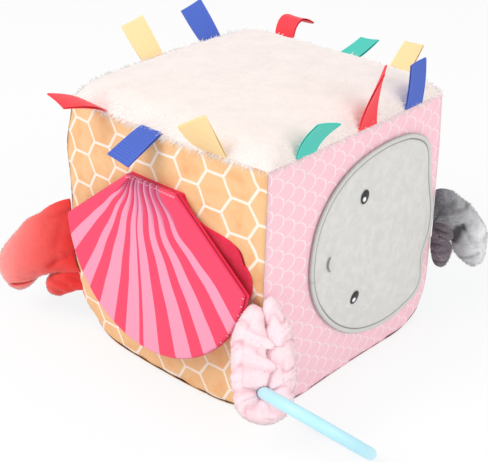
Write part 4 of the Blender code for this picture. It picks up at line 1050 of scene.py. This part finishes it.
# Strap: a tube of pink plush gathered on itself, with both ends in the front right seam and a ring in its loop.
# The gathering throws it into round lobes with small deep folds between them.
STRAP_HEIGHT, STRAP_LENGTH, STRAP_HEADING, STRAP_SLOPE, STRAP_BOW = 76 * MM, 45 * MM, -46, 63.5, 3 * MM
STRAP_RADIUS, STRAP_ROOT, STRAP_SPACING, STRAP_TURN = 6.8 * MM, 2.5 * MM, 14.5 * MM, math.radians(45)
RING_DIAMETER, RING_ROD, RING_HEADING, RING_SLOPE, RING_ROLL = 69 * MM, 3.35 * MM, 21.5, 21.3, math.radians(40)
EYE_STRAP, EYE_CLEARANCE, LOBE_PITCH, CRIMP_PITCH = 5.4 * MM, 1.2 * MM, 11.5 * MM, 5.7 * MM


def sloped(heading, drop):
    """A direction with a heading about Z and a drop below level."""
    heading, drop = math.radians(heading), math.radians(drop)
    return np.array((math.cos(heading) * math.cos(drop), math.sin(heading) * math.cos(drop), -math.sin(drop)))


def unit_of(vector):
    """A direction with a length of 1."""
    return vector / np.linalg.norm(vector, axis=-1, keepdims=True)


ring_along = sloped(RING_HEADING, RING_SLOPE)
ring_level = unit_of(np.cross(UP, ring_along))
ring_axis = -(math.sin(RING_ROLL) * ring_level + math.cos(RING_ROLL) * np.cross(ring_along, ring_level))
ring_radius = RING_DIAMETER / 2 - RING_ROD
hang = sloped(STRAP_HEADING, STRAP_SLOPE)
strap_seam = skin(np.array((1, -1, STRAP_HEIGHT / (BLOCK_SIDE / 2) - 1.0)))
strap_seam = strap_seam + sloped(STRAP_HEADING, 0) * STRAP_ROOT * 0.62
strap_eye = strap_seam + hang * STRAP_LENGTH
apart = unit_of(np.cross(np.cross(ring_axis, ring_along), hang))
flat_way = np.cross(hang, apart)
loop = RING_ROD + EYE_CLEARANCE + EYE_STRAP
half = [(-STRAP_LENGTH, STRAP_ROOT + CLOTH_GAP), (-STRAP_LENGTH * 0.6, STRAP_SPACING / 2),
        (-STRAP_LENGTH / 2, STRAP_SPACING / 2), (-loop, (loop + STRAP_SPACING / 2) / 2), (0, loop),
        (math.sin(STRAP_TURN) * loop, math.cos(STRAP_TURN) * loop), (loop, 0)]
route = smooth(half + [(down, -aside) for down, aside in half[-2::-1]], np.linspace(0, 1, 600))
travelled = np.concatenate([[0], np.cumsum(np.linalg.norm(np.diff(route, axis=0), axis=1))])


def strap_middle(wanted):
    down, aside = (np.interp(wanted, travelled, route[:, k]) for k in (0, 1))
    strand = np.clip(-down / STRAP_LENGTH, 0, 1)
    return down, aside + STRAP_BOW * 4 * strand * (1 - strand) * np.sign(aside), strand


def strap_place(t, turn):
    cap = np.sqrt(1 - (1 - np.minimum(1, np.minimum(t, 1 - t) / 0.03)) ** 2)
    far = np.clip((t - 0.008) / 0.984, 0, 1) * travelled[-1]
    down, aside, strand = strap_middle(far)
    (down_on, aside_on, _), (down_back, aside_back, _) = strap_middle(far + MM), strap_middle(far - MM)
    ahead = unit_of(np.stack([down_on - down_back, aside_on - aside_back], 1))
    begun = np.minimum(1, (np.minimum(far, travelled[-1] - far) + 1 * MM) / (15 * MM))
    uneven = waves(np.cos(turn) * 6 * MM + far * 0.3, np.sin(turn) * 6 * MM + far, 17 * MM, 81)
    lobe = np.abs(np.sin(math.pi * (far / LOBE_PITCH + 0.35 * uneven + 0.12 * np.sin(turn)))) ** 0.6
    crimp = np.abs(np.sin(math.pi * (far / CRIMP_PITCH + 1.3 * uneven + 0.3 * np.sin(2 * turn)))) ** 0.5
    fine = 0.5 + 0.5 * waves(np.cos(turn) * 7 * MM, np.sin(turn) * 7 * MM + far * 0.4, 12 * MM, 83)
    full = EYE_STRAP + (STRAP_RADIUS - EYE_STRAP) * np.minimum(1, 2 * strand)
    full = STRAP_ROOT + (full - STRAP_ROOT) * begun**0.45
    thrown = (lobe - 0.45) * 2.0 * MM * (0.35 + 0.65 * np.minimum(1, 2 * strand))
    radius = full + begun * (thrown + (crimp - 0.8) * 1.0 * MM * fine)
    radius = radius + 2.5 * MM * np.maximum(0, -np.cos(turn)) * np.clip(down / loop, 0, 1)
    radius = radius - 1.2 * MM * np.maximum(0, -np.cos(turn)) * (aside < 0) * np.minimum(1, 2 * strand)
    # The side towards the block and the one towards the flap stay clear of them when the strap swings
    to_flap = np.maximum(0, -np.cos(turn)) * (aside > 0) * np.clip(8 * strand - 1, 0, 1) * 1.2 * MM
    clear = np.clip(0.5 - 2 * np.sin(turn), 0, 1) * 1.2 * MM + to_flap
    radius = np.minimum(radius, full + 1.0 * MM - clear * np.minimum(1, 3 * strand))
    # The strand on the camera's left folds over the other one, whose side it presses in
    beside = np.clip((-down - 3 * MM) / (4 * MM), 0, 1) * begun
    inner = np.maximum(0, np.cos(turn)) ** 0.4
    over = np.where(aside > 0, 4.5 * MM + 2.2 * MM * np.sin(down / (2.6 * MM) + 0.8), -1.0 * MM)
    over = over + 1.5 * MM * (lobe - 0.7)
    radius = radius + inner * beside * (np.abs(aside) + over - radius)
    radius = radius * cap
    # The direction to the inside of the loop, upright to the path
    inward = np.stack([ahead[:, 1], -ahead[:, 0]], 1)
    left = aside > 0
    rise = 5.5 * MM * (1 - begun) ** 2 * ~left
    down = down + inward[:, 0] * np.cos(turn) * radius
    aside = aside + inward[:, 1] * np.cos(turn) * radius
    front = inner * beside * (np.sin(turn) > 0)
    square = np.sign(np.sin(turn)) * np.abs(np.sin(turn)) ** (1 - np.where(left, 0.85, 0.3) * front)
    off = (square * np.minimum(radius, full + 1.5 * MM) + np.where(left, 1.6, -0.8) * MM * front) * cap
    points = strap_eye + np.outer(down, hang) - np.outer(aside, apart) + np.outer(off, flat_way) + np.outer(rise, UP)
    # Round the ring the strap closes on the rod
    hub = strap_eye + ring_along * ring_radius
    from_hub = points - hub
    rod = hub + unit_of(from_hub - np.outer(from_hub @ ring_axis, ring_axis)) * ring_radius
    away = np.linalg.norm(points - rod, axis=1)
    close = np.clip(2 - (away - RING_ROD) / (3.5 * MM), 0, 1)
    snug = np.clip(1.6 * np.cos(turn) + 0.25 * (np.sin(turn) > 0), 0, 1) * close
    closer = np.minimum(away, RING_ROD + 0.3 * MM + (1 - snug) * np.maximum(0, away - RING_ROD - 0.3 * MM))
    points = rod + (points - rod) * (np.maximum(closer, RING_ROD + 0.3 * MM) / away)[:, None]
    on_rod = 1.2 * np.clip(1.6 - (closer - RING_ROD) / MM, 0, 1)
    # Painted shade between the lobes, in the crimps and where the strap closes on the rod
    painted_cavity_shade = np.clip(1.2 * (1 - lobe) + 0.8 * (1 - crimp) * fine - 0.35 + on_rod, 0, 1)
    return points, np.stack([painted_cavity_shade, 0 * painted_cavity_shade, 0 * painted_cavity_shade], 1)


# Painted shade: the deep colour in the strap's folds
pink_plush = plush("Pink plush", dye("FDDBE1"), dye("FFEAED"), deep=dye("F9C9D1"), sheen=0.4, size=1.2 * MM, shade=0.04)
strap = stuffed("strap_plush", 64, 700, strap_place, "strap", pink_plush)
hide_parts("strap")
pile(strap, "strap_pile", "strap", 5000, 0.7 * MM, 0.22 * MM, 82, keep=lambda at, up: up @ flat_way > 0.15)

# Teether ring: a smooth moulded ring of pale blue plastic, free to slide round in the strap's loop.
blue_plastic, tree, shader = finish("Pale blue plastic", 0.3, specular=0.5)
place = own_place(tree)
haze = node(tree, "TexNoise", {"Vector": place, "Scale": 1 / (9 * MM), "Detail": 3.0}).outputs["Fac"]
tree.links.new(blend_colour(tree, haze, dye("AFE3F2"), dye("BFEBF6")), shader.inputs["Base Color"])
tree.links.new(node(tree, "MapRange", {0: haze, 3: 0.24, 4: 0.38}).outputs[0], shader.inputs["Roughness"])
raised(tree, shader, node(tree, "TexNoise", {"Vector": place, "Scale": 1 / (1.2 * MM)}).outputs["Fac"], 0.02 * MM)
ring_side = unit_of(np.cross(ring_axis, ring_along))


def ring_place(unit):
    centre = strap_eye + ring_along * ring_radius
    points = centre + np.outer(unit[:, 0], ring_along) + np.outer(unit[:, 1], ring_side)
    return points + np.outer(unit[:, 2], ring_axis), unit


all_off()
bpy.ops.mesh.primitive_torus_add(major_radius=ring_radius, minor_radius=RING_ROD, major_segments=160, minor_segments=36)
ring = shaped(bpy.context.object, "teether_ring_plastic", ring_place)
dress(ring, blue_plastic, "ring", "teether_ring")

# Ribbon tags: twelve grosgrain ribbons, each folded in half and sewn in the top seam by both ends.
# They bend and twist as handling left them, and their ribs run across.
TAG_WIDTH, TAG_LENGTH, TAG_SEAT, RIBBON, TAG_OPEN = 15 * MM, 30 * MM, 0.8 * MM, 0.4 * MM, 0.2 * MM
SIDES = {"front": (1, -1), "right": (0, 1), "back": (1, 1), "left": (0, -1)}
# Each ribbon's shaded and lit colours, for the painted light and shade on its ribs
RIBBON_SHADED_AND_LIT = {"red": ("E9303C", "FF4A55"), "blue": ("3A55B2", "5270CC"), "yellow": ("F3D08F", "FFE4B2"),
               "green": ("35B7A6", "55D6C6")}
# Each ribbon: its place along the seam, its tip's reach along, out and up, its twist, and its bend
TAGS = {
    "front": (("red", -0.66, (0, 0.95, 0.42), -0.18, (0.25, 0.25)),
              ("blue", -0.07, (-0.12, 0.72, -0.38), -0.14, (0.03, 0.03)),
              ("yellow", 0.55, (-0.06, 0.5, 0.72), 0.56, (0.25, 0.25))),
    "right": (("green", -0.63, (0.03, 0.44, 0.67), -0.17, (0.05, 0.3)),
              ("red", 0.04, (0.23, 0.13, 1.03), 0.36, (0, 0.41)),
              ("blue", 0.595, (-0.03, 0.05, 0.87), 0.05, (0.05, 0.4))),
    "back": (("yellow", 0.54, (0.03, 0.52, 0.55), -0.1, (0.25, 0.25)),
             ("green", -0.02, (0.05, 0.9, 0.24), -0.1, (0.45, 0.04)),
             ("red", -0.63, (0, 0.66, 0.36), 0, (0.05, 0.78))),
    "left": (("blue", 0.59, (0.1, 0.78, 0.68), -0.44, (0.25, 0.25)),
             ("yellow", -0.065, (0, 0.68, 0.74), -0.41, (0.25, 0.25)),
             ("green", -0.6, (-0.05, 0.4, -0.85), -0.11, (0.1, 0.1))),
}


def grosgrain(colour):
    """A ribbon with fine ribs across it, painted light on their crests and painted shade between them, and a plain
    edge.
    """
    deep, light = (dye(code) for code in RIBBON_SHADED_AND_LIT[colour])
    made, tree, shader = finish(f"{colour.capitalize()} grosgrain", 0.62, sheen=0.1, specular=0.3)
    place = marked(tree)
    across, along, _ = node(tree, "SeparateXYZ", {0: place}).outputs
    # Painted light and shade: the ribs alternate between the ribbon's lit and shaded colours
    rib = sum_of(tree, "SINE", sum_of(tree, "MULTIPLY", along, math.tau / (1.2 * MM)))
    share = sum_of(tree, "MULTIPLY_ADD", rib, 0.25, 0.5)
    edge = eased(tree, sum_of(tree, "ABSOLUTE", across), 6.7 * MM, 7.1 * MM)
    share = sum_of(tree, "MAXIMUM", share, sum_of(tree, "MULTIPLY", edge, 0.7))
    fibres = use(tree, nap, {"Place": place, "Size": 0.5 * MM})
    share = sum_of(tree, "ADD", share, sum_of(tree, "MULTIPLY_ADD", fibres["Shade"], 0.16, -0.08))
    tree.links.new(blend_colour(tree, share, deep, light), shader.inputs["Base Color"])
    raised(tree, shader, sum_of(tree, "ADD", share, sum_of(tree, "MULTIPLY", fibres["Height"], 0.3)), 0.16 * MM)
    return made


ribbons = {colour: grosgrain(colour) for colour in RIBBON_SHADED_AND_LIT}
for title, rows in TAGS.items():
    axis, side = SIDES[title]
    run, out = np.zeros(3), np.zeros(3)
    out[axis], run[1 - axis] = side, 1
    for colour, share, reach, twist, bend in rows:
        seam_out = unit_of(out + UP)
        foot = skin(run * share + out + UP) + seam_out * TAG_SEAT
        middle = foot + (out * bend[0] + UP * bend[1]) * TAG_LENGTH
        tip = foot + (run * reach[0] + out * reach[1] + UP * reach[2]) * TAG_LENGTH

        def tag_place(a, b, under):
            # Out along one layer, round the fold and back along the other
            turn_share = 0.035
            layer = np.clip(b / turn_share, -1, 1)
            t = np.clip((1 - np.abs(b)) / (1 - turn_share), 0, 1)[:, None]
            centre = foot * (1 - t) ** 2 + middle * 2 * t * (1 - t) + tip * t**2
            ahead = unit_of((middle - foot) * (1 - t) + (tip - middle) * t)
            level = unit_of(run - 0.4 * ahead * (ahead @ run)[:, None])
            angle = math.radians(90) * twist * t
            level = level * np.cos(angle) + np.cross(ahead, level) * np.sin(angle)
            normal = np.cross(level, ahead)
            apart_by = TAG_OPEN + RIBBON * (1 - under) + 0.25 * MM * np.sin(math.pi * t[:, 0]) * (0.6 + 0.4 * a)
            round_fold = np.sqrt(np.maximum(0, 1 - layer**2)) * (TAG_OPEN + RIBBON * (1 - under))
            cup = 0.5 * MM * (a**2 - 0.4) * t[:, 0]
            points = centre + level * (a * TAG_WIDTH / 2)[:, None] + normal * (layer * apart_by + cup)[:, None]
            return points + ahead * round_fold[:, None], np.stack([a * TAG_WIDTH / 2, b * TAG_LENGTH, 0 * a], 1)

        name = f"tag_{colour}_{title}"
        tag = cloth(name + "_ribbon", 14, 120, tag_place)
        dress(tag, ribbons[colour], name, name)
